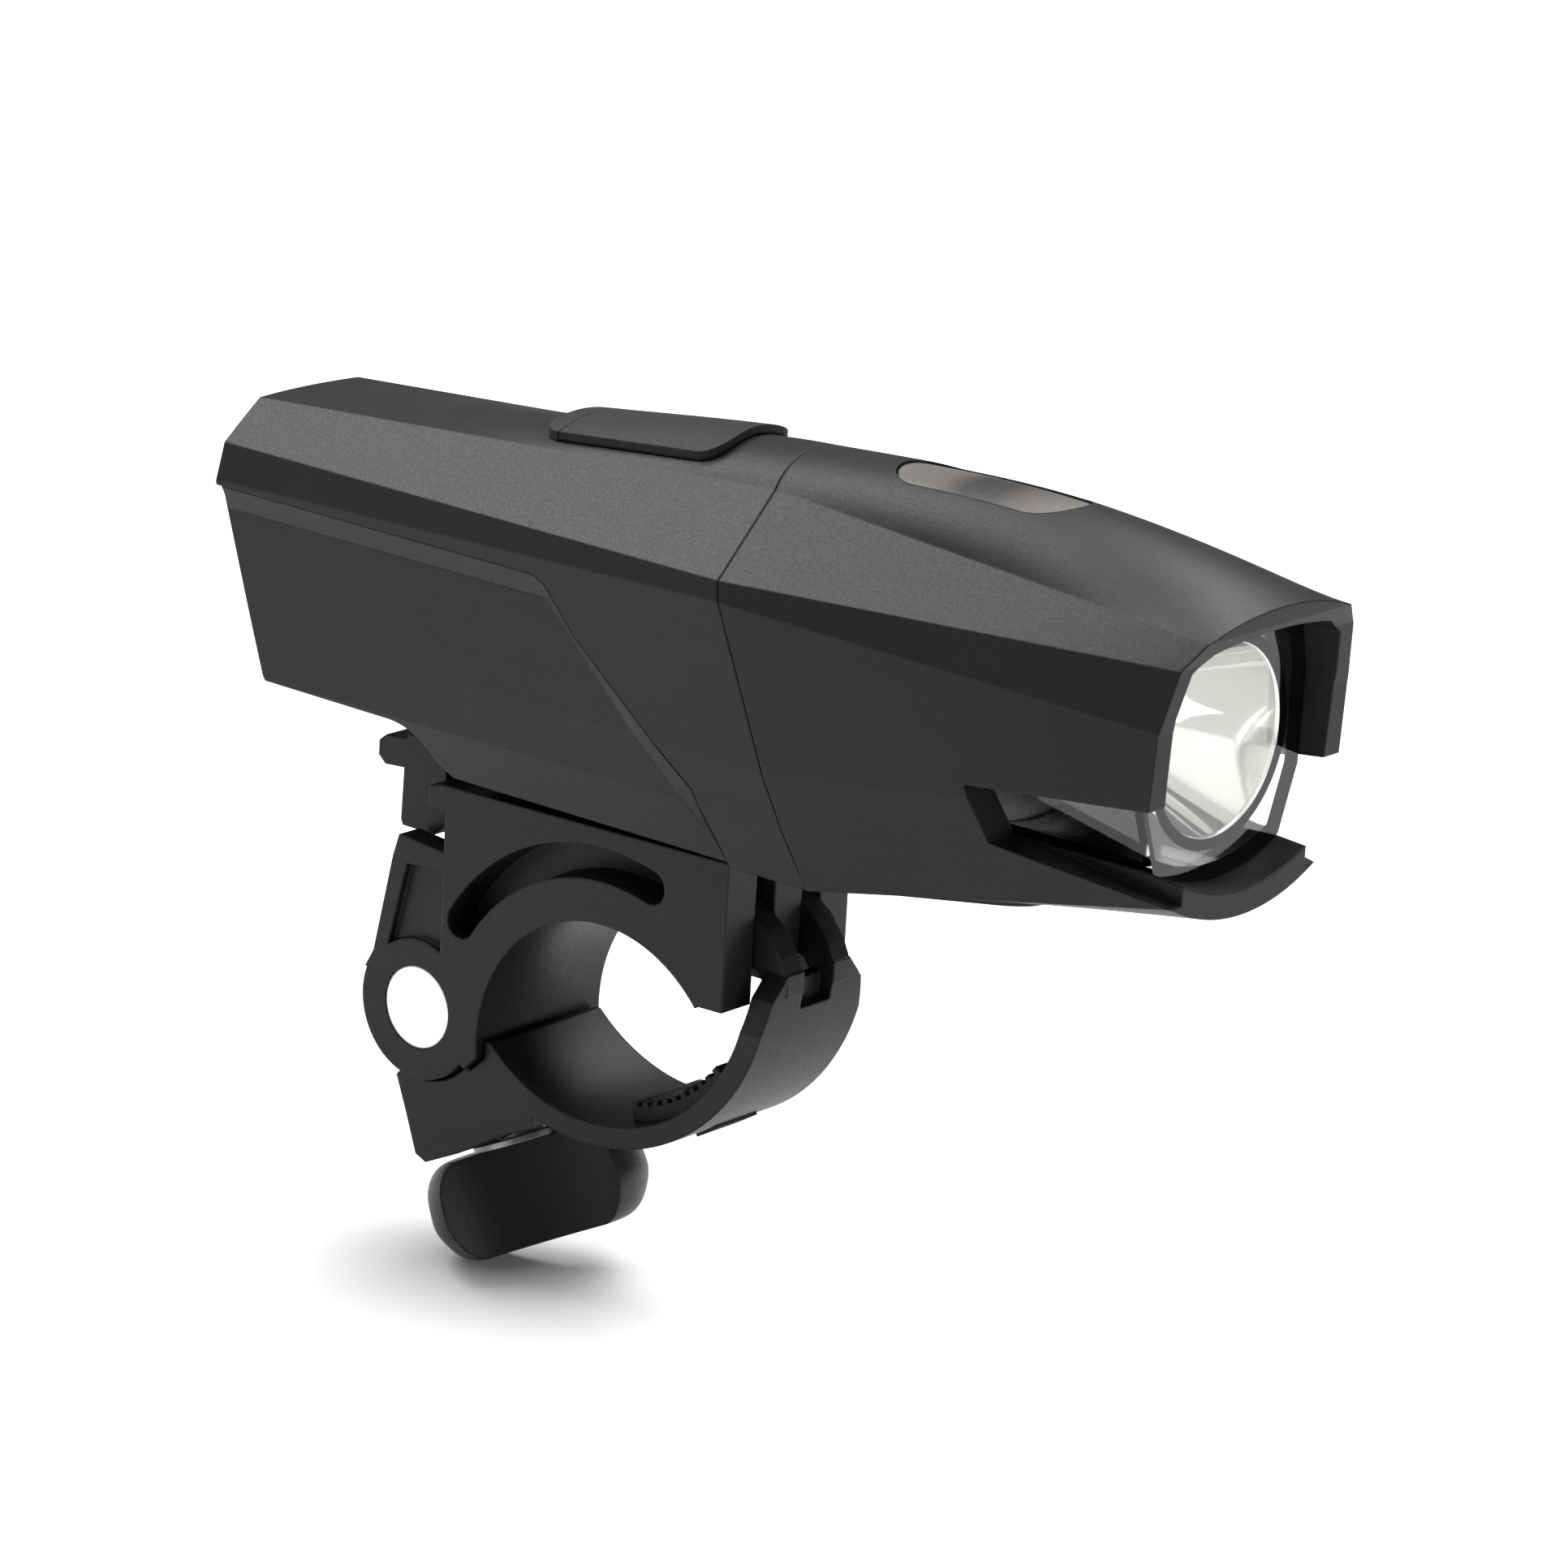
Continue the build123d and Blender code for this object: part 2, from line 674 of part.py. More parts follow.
# Head housing: hollow behind the shoulder, bored for the lens ahead of it, with a hood and a chin
head_outer = shell_form(HEAD_END, HEAD_STATIONS)
head_space = shell_form(HEAD_END, HEAD_STATIONS, grow=-WALL)
strip_outline = rounded_outline(COVER_STRIP_REAR, COVER_STRIP_LENGTH, COVER_STRIP_HALF, COVER_ROUND)
strip_pocket = rounded_outline(
    COVER_STRIP_REAR - FIT, COVER_STRIP_LENGTH + FIT + FIT, COVER_STRIP_HALF + FIT, COVER_ROUND
)
window_span = CHIN_X - WINDOW_REAR
window_end = FRONT_X + OVER
window_way = (window_end - WINDOW_REAR) / window_span
window_region = [
    (WINDOW_REAR - WINDOW_RISE / 2, WINDOW_TOP),
    (WINDOW_REAR + WINDOW_RISE / 2, WINDOW_LOW),
    (window_end, WINDOW_LOW - WINDOW_DROP * window_way),
    (window_end, WINDOW_TOP + WINDOW_RISE * window_way),
]
rim_slope = (RIM_TOP_X - RIM_LOW_X) / (RIM_TOP_Z - RIM_LOW_Z)
rim_high = ABOVE
rim_region = [
    (RIM_TOP_X + rim_slope * (rim_high - RIM_TOP_Z), rim_high),
    (RIM_TOP_X, RIM_TOP_Z),
    *from_shares(RIM_SHARES, RIM_LOW_X, RIM_LOW_Z, RIM_TOP_X - RIM_LOW_X, RIM_TOP_Z - RIM_LOW_Z),
    (RIM_LOW_X, RIM_LOW_Z),
    (CHIN_X, WINDOW_LOW),
    (CHIN_X, 0),
    (FRONT_X + BIG, 0),
    (FRONT_X + BIG, rim_high),
]

with BuildPart() as head_cavity:
    add(head_space)
    block(SHOULDER_X, FRONT_X + OVER, BIG, 0, ABOVE, mode=Mode.SUBTRACT)

with BuildPart() as lens_bore:
    extrude(lens_section(SHOULDER_X - WALL), amount=LENS_X - SHOULDER_X + WALL + FIT)

with BuildPart() as hood_flare:
    loft(sections=[lens_section(LENS_X + FIT).face(), lens_section(FRONT_X + OVER, FLARE).face()])

with BuildPart() as posts:
    for side in (-1, 1):
        disc(POST_RADIUS, POST_X, BOARD_TOP, ABOVE, side * POST_Y)
        disc(TIE_TOWER, TIE_SCREW_X, floor_at(TIE_SCREW_X) + WALL / 2, tie_bottom, side * TIE_SCREW_Y)
    add(head_outer, mode=Mode.INTERSECT)

seal_ring = section(seam_plane(), SEAM_POINTS, SEAM_CROWN, SEAM_FLOOR, SEAM_STRETCH, -SEAL_STEP)
seal_ring -= section(seam_plane(), SEAM_POINTS, SEAM_CROWN, SEAM_FLOOR, SEAM_STRETCH, -WALL)
rebate_ring = section(seam_plane(), SEAM_POINTS, SEAM_CROWN, SEAM_FLOOR, SEAM_STRETCH, -SEAL_STEP)
rebate_ring -= section(seam_plane(), SEAM_POINTS, SEAM_CROWN, SEAM_FLOOR, SEAM_STRETCH, -WALL - FIT)
with BuildPart() as seal_rebate:
    extrude(rebate_ring, amount=SEAL_DEPTH)

button_floor = COLLAR_TOP - BUTTON_TRAVEL - RUN
button_hole = slot_outline(BUTTON_X, BUTTON_LENGTH + 2 * BUTTON_GAP, BUTTON_WIDTH + 2 * BUTTON_GAP)
with BuildPart() as head_housing:
    add(head_outer)
    add(head_cavity.part, mode=Mode.SUBTRACT)
    add(posts.part)
    add(seal_rebate.part, mode=Mode.SUBTRACT)
    add(lens_bore.part, mode=Mode.SUBTRACT)
    add(hood_flare.part, mode=Mode.SUBTRACT)
    for side in (-1, 1):
        edge = side_profile(window_region).moved(Location((0, side * WINDOW_INNER, 0)))
        extrude(edge, amount=-side * BIG, mode=Mode.SUBTRACT)
    extrude(side_profile(rim_region), amount=BIG, both=True, mode=Mode.SUBTRACT)
    add(prism(strip_pocket) - up(head_outer, COVER_STRIP_SINK), mode=Mode.SUBTRACT)
    add(prism(button_hole, button_floor), mode=Mode.SUBTRACT)
    for side in (-1, 1):
        y = side * TIE_SCREW_Y
        head_seat = floor_at(TIE_SCREW_X) + TIE_SCREW_SINK + SCREW_HEAD_HEIGHT + FIT
        disc(SCREW_RADIUS + FIT, TIE_SCREW_X, 0, tie_bottom, y, mode=Mode.SUBTRACT)
        disc(SCREW_HEAD + FIT, TIE_SCREW_X, 0, head_seat, y, mode=Mode.SUBTRACT)
        disc(SCREW_RADIUS + FIT, POST_X, BOARD_TOP, BOARD_TOP + OVER, side * POST_Y, mode=Mode.SUBTRACT)
        y = side * SINK_SCREW_Y
        rod(SCREW_RADIUS + FIT, SHOULDER_X - OVER, SHOULDER_X + OVER, SINK_SCREW_Z, y, mode=Mode.SUBTRACT)


with BuildPart() as housing_seal:
    extrude(seal_ring, amount=SEAL_DEPTH)
    extrude(seal_ring, amount=-SEAM_GAP)

tie_screw_bottom = floor_at(TIE_SCREW_X) + TIE_SCREW_SINK
housing_screws = upright_screws(TIE_SCREW_X, TIE_SCREW_Y, tie_screw_bottom, CELL_FLOOR - FIT)

with BuildPart() as screw_cover:
    add(prism(strip_outline))
    add(up(head_outer, -COVER_STRIP_PROUD), mode=Mode.INTERSECT)
    add(up(head_outer, COVER_STRIP_SINK), mode=Mode.SUBTRACT)
    block(COVER_STRIP_REAR - OVER, FRONT_X, BIG, BEAM_Z, ABOVE, mode=Mode.SUBTRACT)

# Rubber cover of the charging socket: a flap with a plug, and the strip that anchors it
cover_outline = rounded_outline(COVER_REAR, COVER_LENGTH, COVER_HALF, COVER_ROUND)
anchor_end = COVER_REAR + ANCHOR_LENGTH
with BuildPart() as cover_skin:
    add(prism(cover_outline, BOARD_TOP))
    add(up(rear_outer, COVER_PROUD), mode=Mode.INTERSECT)

with BuildPart() as port_cover:
    add(cover_skin.part)
    add(up(rear_outer, PLAY), mode=Mode.SUBTRACT)
    block(COVER_REAR - OVER, anchor_end + PLAY, BIG, BOARD_TOP - OVER, ABOVE, mode=Mode.SUBTRACT)
    plug_bottom = BOARD_TOP + SOCKET_HEIGHT + PLUG_GAP
    brick(SOCKET_X, port_length - 2 * RUN, port_width - 2 * RUN, plug_bottom, ABOVE)
    add(up(rear_outer, COVER_PROUD), mode=Mode.INTERSECT)

with BuildPart() as anchor_stud:
    disc(ANCHOR_STUD, anchor_x, anchor_low, ABOVE)
    add(up(rear_outer, COVER_PROUD / 2), mode=Mode.INTERSECT)

with BuildPart() as cover_anchor:
    add(cover_skin.part)
    add(rear_outer, mode=Mode.SUBTRACT)
    block(anchor_end, BIG, BIG, BOARD_TOP - OVER, ABOVE, mode=Mode.SUBTRACT)
    add(anchor_stud.part)
    disc(ANCHOR_HEAD, anchor_x, anchor_low, anchor_low + ANCHOR_HEAD_HEIGHT)

with BuildPart() as charge_socket:
    socket_top = BOARD_TOP + SOCKET_HEIGHT
    mouth_length = SOCKET_LENGTH - 2 * SOCKET_WALL
    mouth_width = SOCKET_WIDTH - 2 * SOCKET_WALL
    brick(SOCKET_X, SOCKET_LENGTH, SOCKET_WIDTH, BOARD_TOP, socket_top)
    brick(SOCKET_X, mouth_length, mouth_width, BOARD_TOP + SOCKET_MARGIN, socket_top, mode=Mode.SUBTRACT)
    brick(SOCKET_X, mouth_length - 2 * SOCKET_MARGIN, TONGUE_THICK, BOARD_TOP, socket_top - SOCKET_MARGIN)

# Power button with its collar and stem, and what lies under it
stem_bottom = BOARD_TOP + SWITCH_HEIGHT + SWITCH_NUB + BUTTON_TRAVEL + CONTACT_GAP
with BuildPart() as power_button:
    add(prism(slot_outline(BUTTON_X, BUTTON_LENGTH, BUTTON_WIDTH), COLLAR_TOP))
    add(up(head_outer, -BUTTON_SINK), mode=Mode.INTERSECT)
    brick(BUTTON_X, COLLAR_LENGTH, COLLAR_WIDTH, COLLAR_TOP - COLLAR_THICK, COLLAR_TOP)
    disc(STEM_RADIUS, BUTTON_X, stem_bottom, COLLAR_TOP)

with BuildPart() as button_seal:
    disc(BOOT_RADIUS, BUTTON_X, BOARD_TOP, BOARD_TOP + BOOT_HEIGHT)
    disc(BOOT_RADIUS - BOOT_WALL, BUTTON_X, BOARD_TOP, BOARD_TOP + BOOT_HEIGHT, mode=Mode.SUBTRACT)

with BuildPart() as tactile_switch:
    switch_top = BOARD_TOP + SWITCH_HEIGHT
    brick(BUTTON_X, SWITCH_SIZE, SWITCH_SIZE, BOARD_TOP, switch_top)
    disc(SWITCH_NUB_RADIUS, BUTTON_X, switch_top, switch_top + SWITCH_NUB)

with BuildPart() as indicator_leds:
    for lamp in range(LAMP_COUNT):
        x = BUTTON_X - LAMP_SETBACK + lamp * LAMP_PITCH
        block(x, x + LAMP_WIDTH, LAMP_LENGTH / 2, BOARD_TOP, BOARD_TOP + LAMP_HEIGHT)

board_bottom = BOARD_TOP - BOARD_THICK
with BuildPart() as control_board:
    block(BOARD_REAR, BOARD_REAR + BOARD_LENGTH, BOARD_HALF, board_bottom, BOARD_TOP)
    for chip in (0, 1):
        x = CHIP_X + chip * CHIP_LENGTH * 2
        block(x, x + CHIP_LENGTH / (chip + 1), CHIP_LENGTH / 2, board_bottom - CHIP_HEIGHT, board_bottom)
    for side in (-1, 1):
        disc(SCREW_RADIUS + FIT, POST_X, 0, ABOVE, side * POST_Y, mode=Mode.SUBTRACT)

board_screws = upright_screws(POST_X, POST_Y, board_bottom - SCREW_HEAD_HEIGHT, BOARD_TOP + OVER - FIT)

# Optics: lens cup, seal, heat sink, light source and mirror, one behind the other along the beam
flange_rear = SHOULDER_X - LENS_FLANGE
seal_rear = flange_rear - SEAL_THICK
plate_rear = seal_rear - PLATE_THICK
mirror_front = LENS_X - LENS_THICK
mirror_tip = mirror_front - MIRROR_RADIUS**2 / (4 * MIRROR_FOCUS)
dome_x = mirror_tip + MIRROR_FOCUS
board_front = dome_x - LED_BASE
board_back = board_front - LED_BOARD_THICK
beam_axis = Axis((0, 0, BEAM_Z), (1, 0, 0))

head_fit = shell_form(HEAD_END, HEAD_STATIONS, grow=-WALL - PLAY)
with BuildPart() as lens_flange:
    extrude(lens_section(flange_rear, LENS_FLANGE), amount=LENS_FLANGE)
    add(head_fit, mode=Mode.INTERSECT)

with BuildPart() as lens:
    extrude(lens_section(flange_rear, -FIT), amount=LENS_X - flange_rear)
    add(lens_flange.part)
    cup_inside = lens_section(flange_rear, -FIT - LENS_WALL)
    extrude(cup_inside, amount=mirror_front - flange_rear, mode=Mode.SUBTRACT)

with BuildPart() as lens_seal:
    extrude(lens_section(seal_rear, LENS_FLANGE) - lens_section(seal_rear, -LENS_WALL), amount=SEAL_THICK)
    add(head_fit, mode=Mode.INTERSECT)

with BuildPart() as heat_sink:
    extrude(lens_section(plate_rear, LENS_FLANGE), amount=PLATE_THICK)
    for side in (-1, 1):
        y = side * SINK_SCREW_Y
        block(plate_rear, SHOULDER_X, SINK_EAR, SINK_EAR_LOW, SINK_EAR_HIGH, y)
        block(plate_rear, seal_rear, SINK_EAR, SINK_EAR_LOW, LENS_FLOOR + OVER, y)
    add(head_fit, mode=Mode.INTERSECT)
    rod(LED_BOARD_RADIUS, seal_rear, board_back, BEAM_Z)
    for fin in range(FIN_COUNT):
        y = (fin - (FIN_COUNT - 1) / 2) * FIN_PITCH
        fin_low = BEAM_Z - FIN_HEIGHT / 2 - FIN_THICK
        block(plate_rear - FIN_LENGTH, plate_rear, FIN_THICK / 2, fin_low, fin_low + FIN_HEIGHT, y)
    for side in (-1, 1):
        rod(SCREW_RADIUS + FIT, 0, SHOULDER_X, SINK_SCREW_Z, side * SINK_SCREW_Y, mode=Mode.SUBTRACT)

with BuildPart() as sink_screws:
    for side in (-1, 1):
        y = side * SINK_SCREW_Y
        rod(SCREW_RADIUS, plate_rear, plate_rear + SINK_SCREW_LENGTH, SINK_SCREW_Z, y)
        rod(SCREW_HEAD, plate_rear - SCREW_HEAD_HEIGHT, plate_rear, SINK_SCREW_Z, y)

with BuildPart() as led_board:
    rod(LED_BOARD_RADIUS, board_back, board_front, BEAM_Z)

with BuildPart() as led_emitter:
    block(board_front, dome_x, LED_SIZE / 2, BEAM_Z - LED_SIZE / 2, BEAM_Z + LED_SIZE / 2)
    with Locations((dome_x, 0, BEAM_Z)):
        Sphere(DOME_RADIUS)
    rod(LED_BOARD_RADIUS, board_back, board_front, BEAM_Z, mode=Mode.SUBTRACT)


def mirror_x(radius):
    return mirror_tip + radius**2 / (4 * MIRROR_FOCUS)


with BuildPart() as reflector:
    throat_x = mirror_x(THROAT_RADIUS)
    flange_x = mirror_front - MIRROR_WALL
    turn_x = mirror_tip + THROAT_RADIUS * MIRROR_RADIUS / (4 * MIRROR_FOCUS)
    inner_turn = (turn_x, (THROAT_RADIUS + MIRROR_RADIUS) / 2)
    outer_rim = MIRROR_RADIUS + MIRROR_WALL - RUN
    neck = (board_front, THROAT_RADIUS + MIRROR_WALL)
    outer_turn = (inner_turn[0] - MIRROR_WALL, inner_turn[1] + MIRROR_WALL)
    with BuildSketch(Plane(origin=(0, 0, BEAM_Z), x_dir=(1, 0, 0), z_dir=(0, -1, 0))):
        with BuildLine():
            Bezier((throat_x, THROAT_RADIUS), inner_turn, (mirror_front, MIRROR_RADIUS))
            Polyline(
                (mirror_front, MIRROR_RADIUS),
                (mirror_front, MIRROR_FLANGE),
                (flange_x, MIRROR_FLANGE),
                (flange_x, outer_rim),
            )
            Bezier((flange_x, outer_rim), outer_turn, neck)
            Polyline(neck, (board_front, THROAT_RADIUS), (throat_x, THROAT_RADIUS))
        make_face()
    revolve(axis=beam_axis)
    room = lens_section(board_back, -FIT - LENS_WALL - FIT)
    extrude(room, amount=LENS_X - board_back, mode=Mode.INTERSECT)

# Battery with its tabs and foam pads
cell_front = CELL_REAR + CELL_LENGTH
cell_top = CELL_Z + CELL_RADIUS
with BuildPart() as battery_cell:
    rod(CELL_RADIUS, CELL_REAR, cell_front - CELL_TIP, CELL_Z)
    rod(CELL_TIP_RADIUS, cell_front - CELL_TIP, cell_front, CELL_Z)

with BuildPart() as battery_tabs:
    tab = TAB_WIDTH / 2
    riser = BOARD_REAR + TAB_WIDTH
    block(CELL_REAR - TAB_THICK, CELL_REAR, tab, CELL_Z - TAB_WIDTH, cell_top + TAB_THICK)
    block(CELL_REAR - TAB_THICK, riser + TAB_THICK, tab, cell_top, cell_top + TAB_THICK)
    block(riser, riser + TAB_THICK, tab, cell_top, board_bottom)
    block(cell_front, cell_front + TAB_THICK, tab, CELL_Z - TAB_WIDTH, board_bottom)

with BuildPart() as battery_pads:
    for share in PAD_SHARES:
        x = CELL_REAR + share * CELL_LENGTH
        block(x, x + PAD_LENGTH, PAD_HALF, CELL_FLOOR, CELL_FLOOR + PAD_DEPTH)
    x = CELL_REAR + PAD_SHARES[0] * CELL_LENGTH
    block(x, x + PAD_LENGTH, TAB_WIDTH, cell_top - PAD_LENGTH / 2, ridge_at(x) - PAD_GAP)
    rod(CELL_RADIUS, CELL_REAR - OVER, cell_front + OVER, CELL_Z, mode=Mode.SUBTRACT)
    block(CELL_REAR, cell_front, TAB_WIDTH / 2 + FIT, CELL_Z, cell_top + TAB_THICK, mode=Mode.SUBTRACT)

# Bracket: saddle, fork, boss for the barrel nut, rail for the light and slot for the catch
bolt_angle = math.radians(BOLT_LEAN)
BOLT_DOWN = Vector(math.sin(bolt_angle), 0, -math.cos(bolt_angle))
BOLT_OUT = Vector(math.cos(bolt_angle), 0, math.sin(bolt_angle))
NUT = Vector(NUT_X, 0, NUT_Z)


def bolt_plane(distance=0.0, turn=0.0):
    """Plane square to the bolt, this far below the nut, with its first axis turned from Y."""
    turned = Vector(0, 1, 0) * math.cos(turn) + BOLT_OUT * math.sin(turn)
    return Plane(origin=NUT + BOLT_DOWN * distance, x_dir=turned, z_dir=BOLT_DOWN)


def bolt_region(back, front, low, high):
    """Outline in the XZ plane along the bolt, from back to front of its line."""
    corners = [(-back, low), (front, low), (front, high), (-back, high)]
    spots = [NUT + BOLT_OUT * out + BOLT_DOWN * down for out, down in corners]
    return side_profile([(spot.X, spot.Z) for spot in spots])


block_height = BLOCK_TOP - NUT_Z
neck_drop = BRACKET_TOP_REAR - LATCH_LOW
bracket_outline = [
    (BRACKET_FRONT, BRACKET_TOP_FRONT),
    (BRACKET_FRONT, CHEEK_TIP),
    (BRACKET_FRONT * CHEEK_SHARE, CHEEK_TIP - FIT),
    (0, 0),
    (-SADDLE_RADIUS, SADDLE_END_Z),
    (-SADDLE_RADIUS - BOSS_TOE, SADDLE_END_Z - BOSS_TOE),
    (NUT_X, NUT_Z),
]
bracket_outline += from_shares(BLOCK_SHARES, NUT_X, NUT_Z, -BOSS_RADIUS, block_height)
bracket_outline += [(BRACKET_NECK_X, BLOCK_TOP - BLOCK_FALL), (BRACKET_NECK_X, LATCH_LOW + BLOCK_FALL)]
bracket_outline += from_shares(NOSE_SHARES, BRACKET_REAR, LATCH_LOW, -NOSE, neck_drop)
dish_outline = from_shares(DISH_SHARES, NUT_X, NUT_Z, -BOSS_RADIUS, block_height)

with BuildSketch(Plane.XZ) as bracket_side:
    with BuildLine():
        Polyline(bracket_outline, close=True)
    make_face()
    with Locations((NUT_X, NUT_Z)):
        Circle(BOSS_RADIUS)
    Circle(SADDLE_RADIUS, mode=Mode.SUBTRACT)

with BuildSketch(Plane.XZ) as arc_pocket:
    Circle(POCKET_OUTER)
    Circle(POCKET_INNER, mode=Mode.SUBTRACT)
    with BuildLine():
        pocket_ends = [math.radians(POCKET_START), math.radians(POCKET_END)]
        pocket_rays = [(BIG * math.cos(a), BIG * math.sin(a)) for a in pocket_ends]
        Polyline([(0, 0)] + pocket_rays, close=True)
    make_face(mode=Mode.INTERSECT)
    with PolarLocations((POCKET_INNER + POCKET_OUTER) / 2, 1, POCKET_START):
        Circle((POCKET_OUTER - POCKET_INNER) / 2)
    with PolarLocations((POCKET_INNER + POCKET_OUTER) / 2, 1, POCKET_END):
        Circle((POCKET_OUTER - POCKET_INNER) / 2)

with BuildSketch(Plane.XZ) as block_dish:
    with BuildLine():
        Polyline(dish_outline, close=True)
    make_face()
    with Locations((NUT_X, NUT_Z)):
        Circle(DISH_CIRCLE, mode=Mode.SUBTRACT)

with BuildSketch(Plane.XZ) as liner_side:
    Circle(SADDLE_RADIUS + LINER_THICK)
    Circle(SADDLE_RADIUS, mode=Mode.SUBTRACT)
    with BuildLine():
        reach = SADDLE_RADIUS * 2
        spread_x = reach * math.tan(math.radians(LINER_SPREAD))
        Polyline((0, 0), (spread_x, reach), (-spread_x, reach), close=True)
    make_face(mode=Mode.INTERSECT)

with BuildPart() as bracket:
    extrude(bracket_side.sketch, amount=BRACKET_HALF, both=True)
    block(RAIL_REAR, RAIL_FRONT, RAIL_NECK, FORK_TOP, RAIL_UNDER)
    block(RAIL_REAR, RAIL_FRONT, RAIL_HEAD, RAIL_UNDER, RAIL_TOP)
    for side in (-1, 1):
        for flat, depth in ((arc_pocket.sketch, WEB_HALF), (block_dish.sketch, BRACKET_HALF - BLOCK_DISH)):
            placed = flat.moved(Location((0, side * depth, 0)))
            extrude(placed, amount=-side * BIG, mode=Mode.SUBTRACT)
        slot_mid = side * (TONGUE_HALF + CHEEK_INNER) / 2
        slot_half = (CHEEK_INNER - TONGUE_HALF) / 2
        fork_end = BRACKET_FRONT + OVER
        block(FORK_DEPTH, fork_end, slot_half, CHEEK_TIP - OVER, FORK_TOP, slot_mid, Mode.SUBTRACT)
    block(FORK_DEPTH, fork_end, TONGUE_HALF, CHEEK_TIP - OVER, TONGUE_LOW, mode=Mode.SUBTRACT)
    neck_rear = BRACKET_NECK_X - BIG
    neck_low = LATCH_LOW - RUN
    block(neck_rear, BRACKET_NECK_X, BLOCK_SLOT_HALF, BLOCK_SLOT_FLOOR, neck_low, mode=Mode.SUBTRACT)
    slot_front = LATCH_PIN_X + LATCH_EYE + RUN
    block(BRACKET_REAR - OVER, slot_front, LATCH_ARM_HALF + RUN, LATCH_SLOT_FLOOR, BIG, mode=Mode.SUBTRACT)
    shaft(LATCH_PIN_RADIUS, LATCH_PIN_X, LATCH_PIN_Z, -LATCH_PIN_HALF, BRACKET_HALF, mode=Mode.SUBTRACT)
    shaft(PIN_RADIUS, HINGE_X, HINGE_Z, -BRACKET_HALF + WALL, BRACKET_HALF, mode=Mode.SUBTRACT)
    shaft(NUT_RADIUS + CONTACT_GAP, NUT_X, NUT_Z, -BRACKET_HALF, BRACKET_HALF, mode=Mode.SUBTRACT)
    bolt_way = bolt_region(BOLT_SLOT_BACK, BOLT_SLOT_FRONT, -OVER, BOSS_RADIUS + OVER)
    extrude(bolt_way, amount=BOLT_SLOT_HALF, both=True, mode=Mode.SUBTRACT)
    extrude(liner_side.sketch, amount=LINER_HALF, both=True, mode=Mode.SUBTRACT)

with BuildPart() as saddle_liner:
    extrude(liner_side.sketch, amount=LINER_HALF, both=True)
    rib_step = math.degrees(RIB_PITCH / SADDLE_RADIUS)
    rib_count = int(2 * LINER_SPREAD / rib_step)
    for rib in range(rib_count):
        angle = 90 + (rib - (rib_count - 1) / 2) * rib_step
        with BuildSketch(Plane.XZ) as groove:
            with PolarLocations(SADDLE_RADIUS, 1, angle):
                Rectangle(2 * RIB_DEPTH, RIB_PITCH - RIB_WIDTH)
        extrude(groove.sketch, amount=BIG, both=True, mode=Mode.SUBTRACT)

with BuildPart() as barrel_nut:
    shaft(NUT_RADIUS, NUT_X, NUT_Z, -BRACKET_HALF + CONTACT_GAP, BRACKET_HALF - CONTACT_GAP)
    with BuildSketch(bolt_plane(-BIG)):
        Circle(BOLT_RADIUS + BOLT_SLACK)
    extrude(amount=BIG + BIG, mode=Mode.SUBTRACT)

with BuildPart() as hinge_pin:
    shaft(PIN_RADIUS, HINGE_X, HINGE_Z, -BRACKET_HALF + WALL, BRACKET_HALF)

with BuildPart() as latch_pin:
    shaft(LATCH_PIN_RADIUS, LATCH_PIN_X, LATCH_PIN_Z, -LATCH_PIN_HALF, LATCH_PIN_HALF)

latch_length = LATCH_REAR - LATCH_BODY_FRONT
latch_height = LATCH_BODY_TOP - LATCH_BODY_LOW
latch_outline = from_shares(LATCH_SHARES, LATCH_BODY_FRONT, LATCH_BODY_LOW, latch_length, latch_height)

with BuildPart() as release_latch:
    extrude(side_profile(latch_outline), amount=LATCH_HALF, both=True)
    block(LATCH_BODY_FRONT, LATCH_PIN_X + BIG, LATCH_HALF + OVER, 0, BIG, mode=Mode.SUBTRACT)
    block(LATCH_BODY_FRONT - CONTACT_GAP, LATCH_PIN_X, LATCH_ARM_HALF, LATCH_LOW, LATCH_HIGH)
    toe_low, toe_high = [LATCH_BODY_LOW + latch_height * share for share in LATCH_TOE_SHARES]
    block(LATCH_BODY_FRONT - CONTACT_GAP, LATCH_BODY_FRONT + LATCH_TOE, LATCH_HALF, toe_low, toe_high)
    shaft(LATCH_EYE, LATCH_PIN_X, LATCH_PIN_Z, -LATCH_ARM_HALF, LATCH_ARM_HALF)
    block(TOOTH_X, TOOTH_X + TOOTH_LENGTH, LATCH_ARM_HALF, LATCH_LOW, TOOTH_TOP)
    shaft(LATCH_PIN_RADIUS + CONTACT_GAP, LATCH_PIN_X, LATCH_PIN_Z, -BIG, BIG, mode=Mode.SUBTRACT)

with BuildPart() as latch_spring:
    disc(SPRING_RADIUS, SPRING_X, LATCH_SLOT_FLOOR, LATCH_LOW)
    disc(SPRING_RADIUS - SPRING_WALL, SPRING_X, LATCH_SLOT_FLOOR, LATCH_LOW, mode=Mode.SUBTRACT)

# Strap: curved jaw with two arms in the fork and a lug for the bolt
band_region = from_shares(BAND_SHARES, STRAP_OUTER_X, STRAP_OUTER_Z, STRAP_OUTER, STRAP_OUTER)
lug_outline = from_shares(LUG_SHARES, NUT_X, NUT_Z, LUG_REACH, LUG_REACH)
arm_reach = STRAP_OUTER_X + STRAP_OUTER - HINGE_X
arm_outline = from_shares(ARM_SHARES, HINGE_X, HINGE_Z, arm_reach, arm_reach)
plan_half = [
    (STRAP_REAR, STRAP_HALF),
    (TAPER_START, STRAP_HALF),
    (TAPER_END, STRAP_NARROW),
    (BIG, STRAP_NARROW),
]
plan_outline = plan_half + [(x, -y) for x, y in reversed(plan_half)]

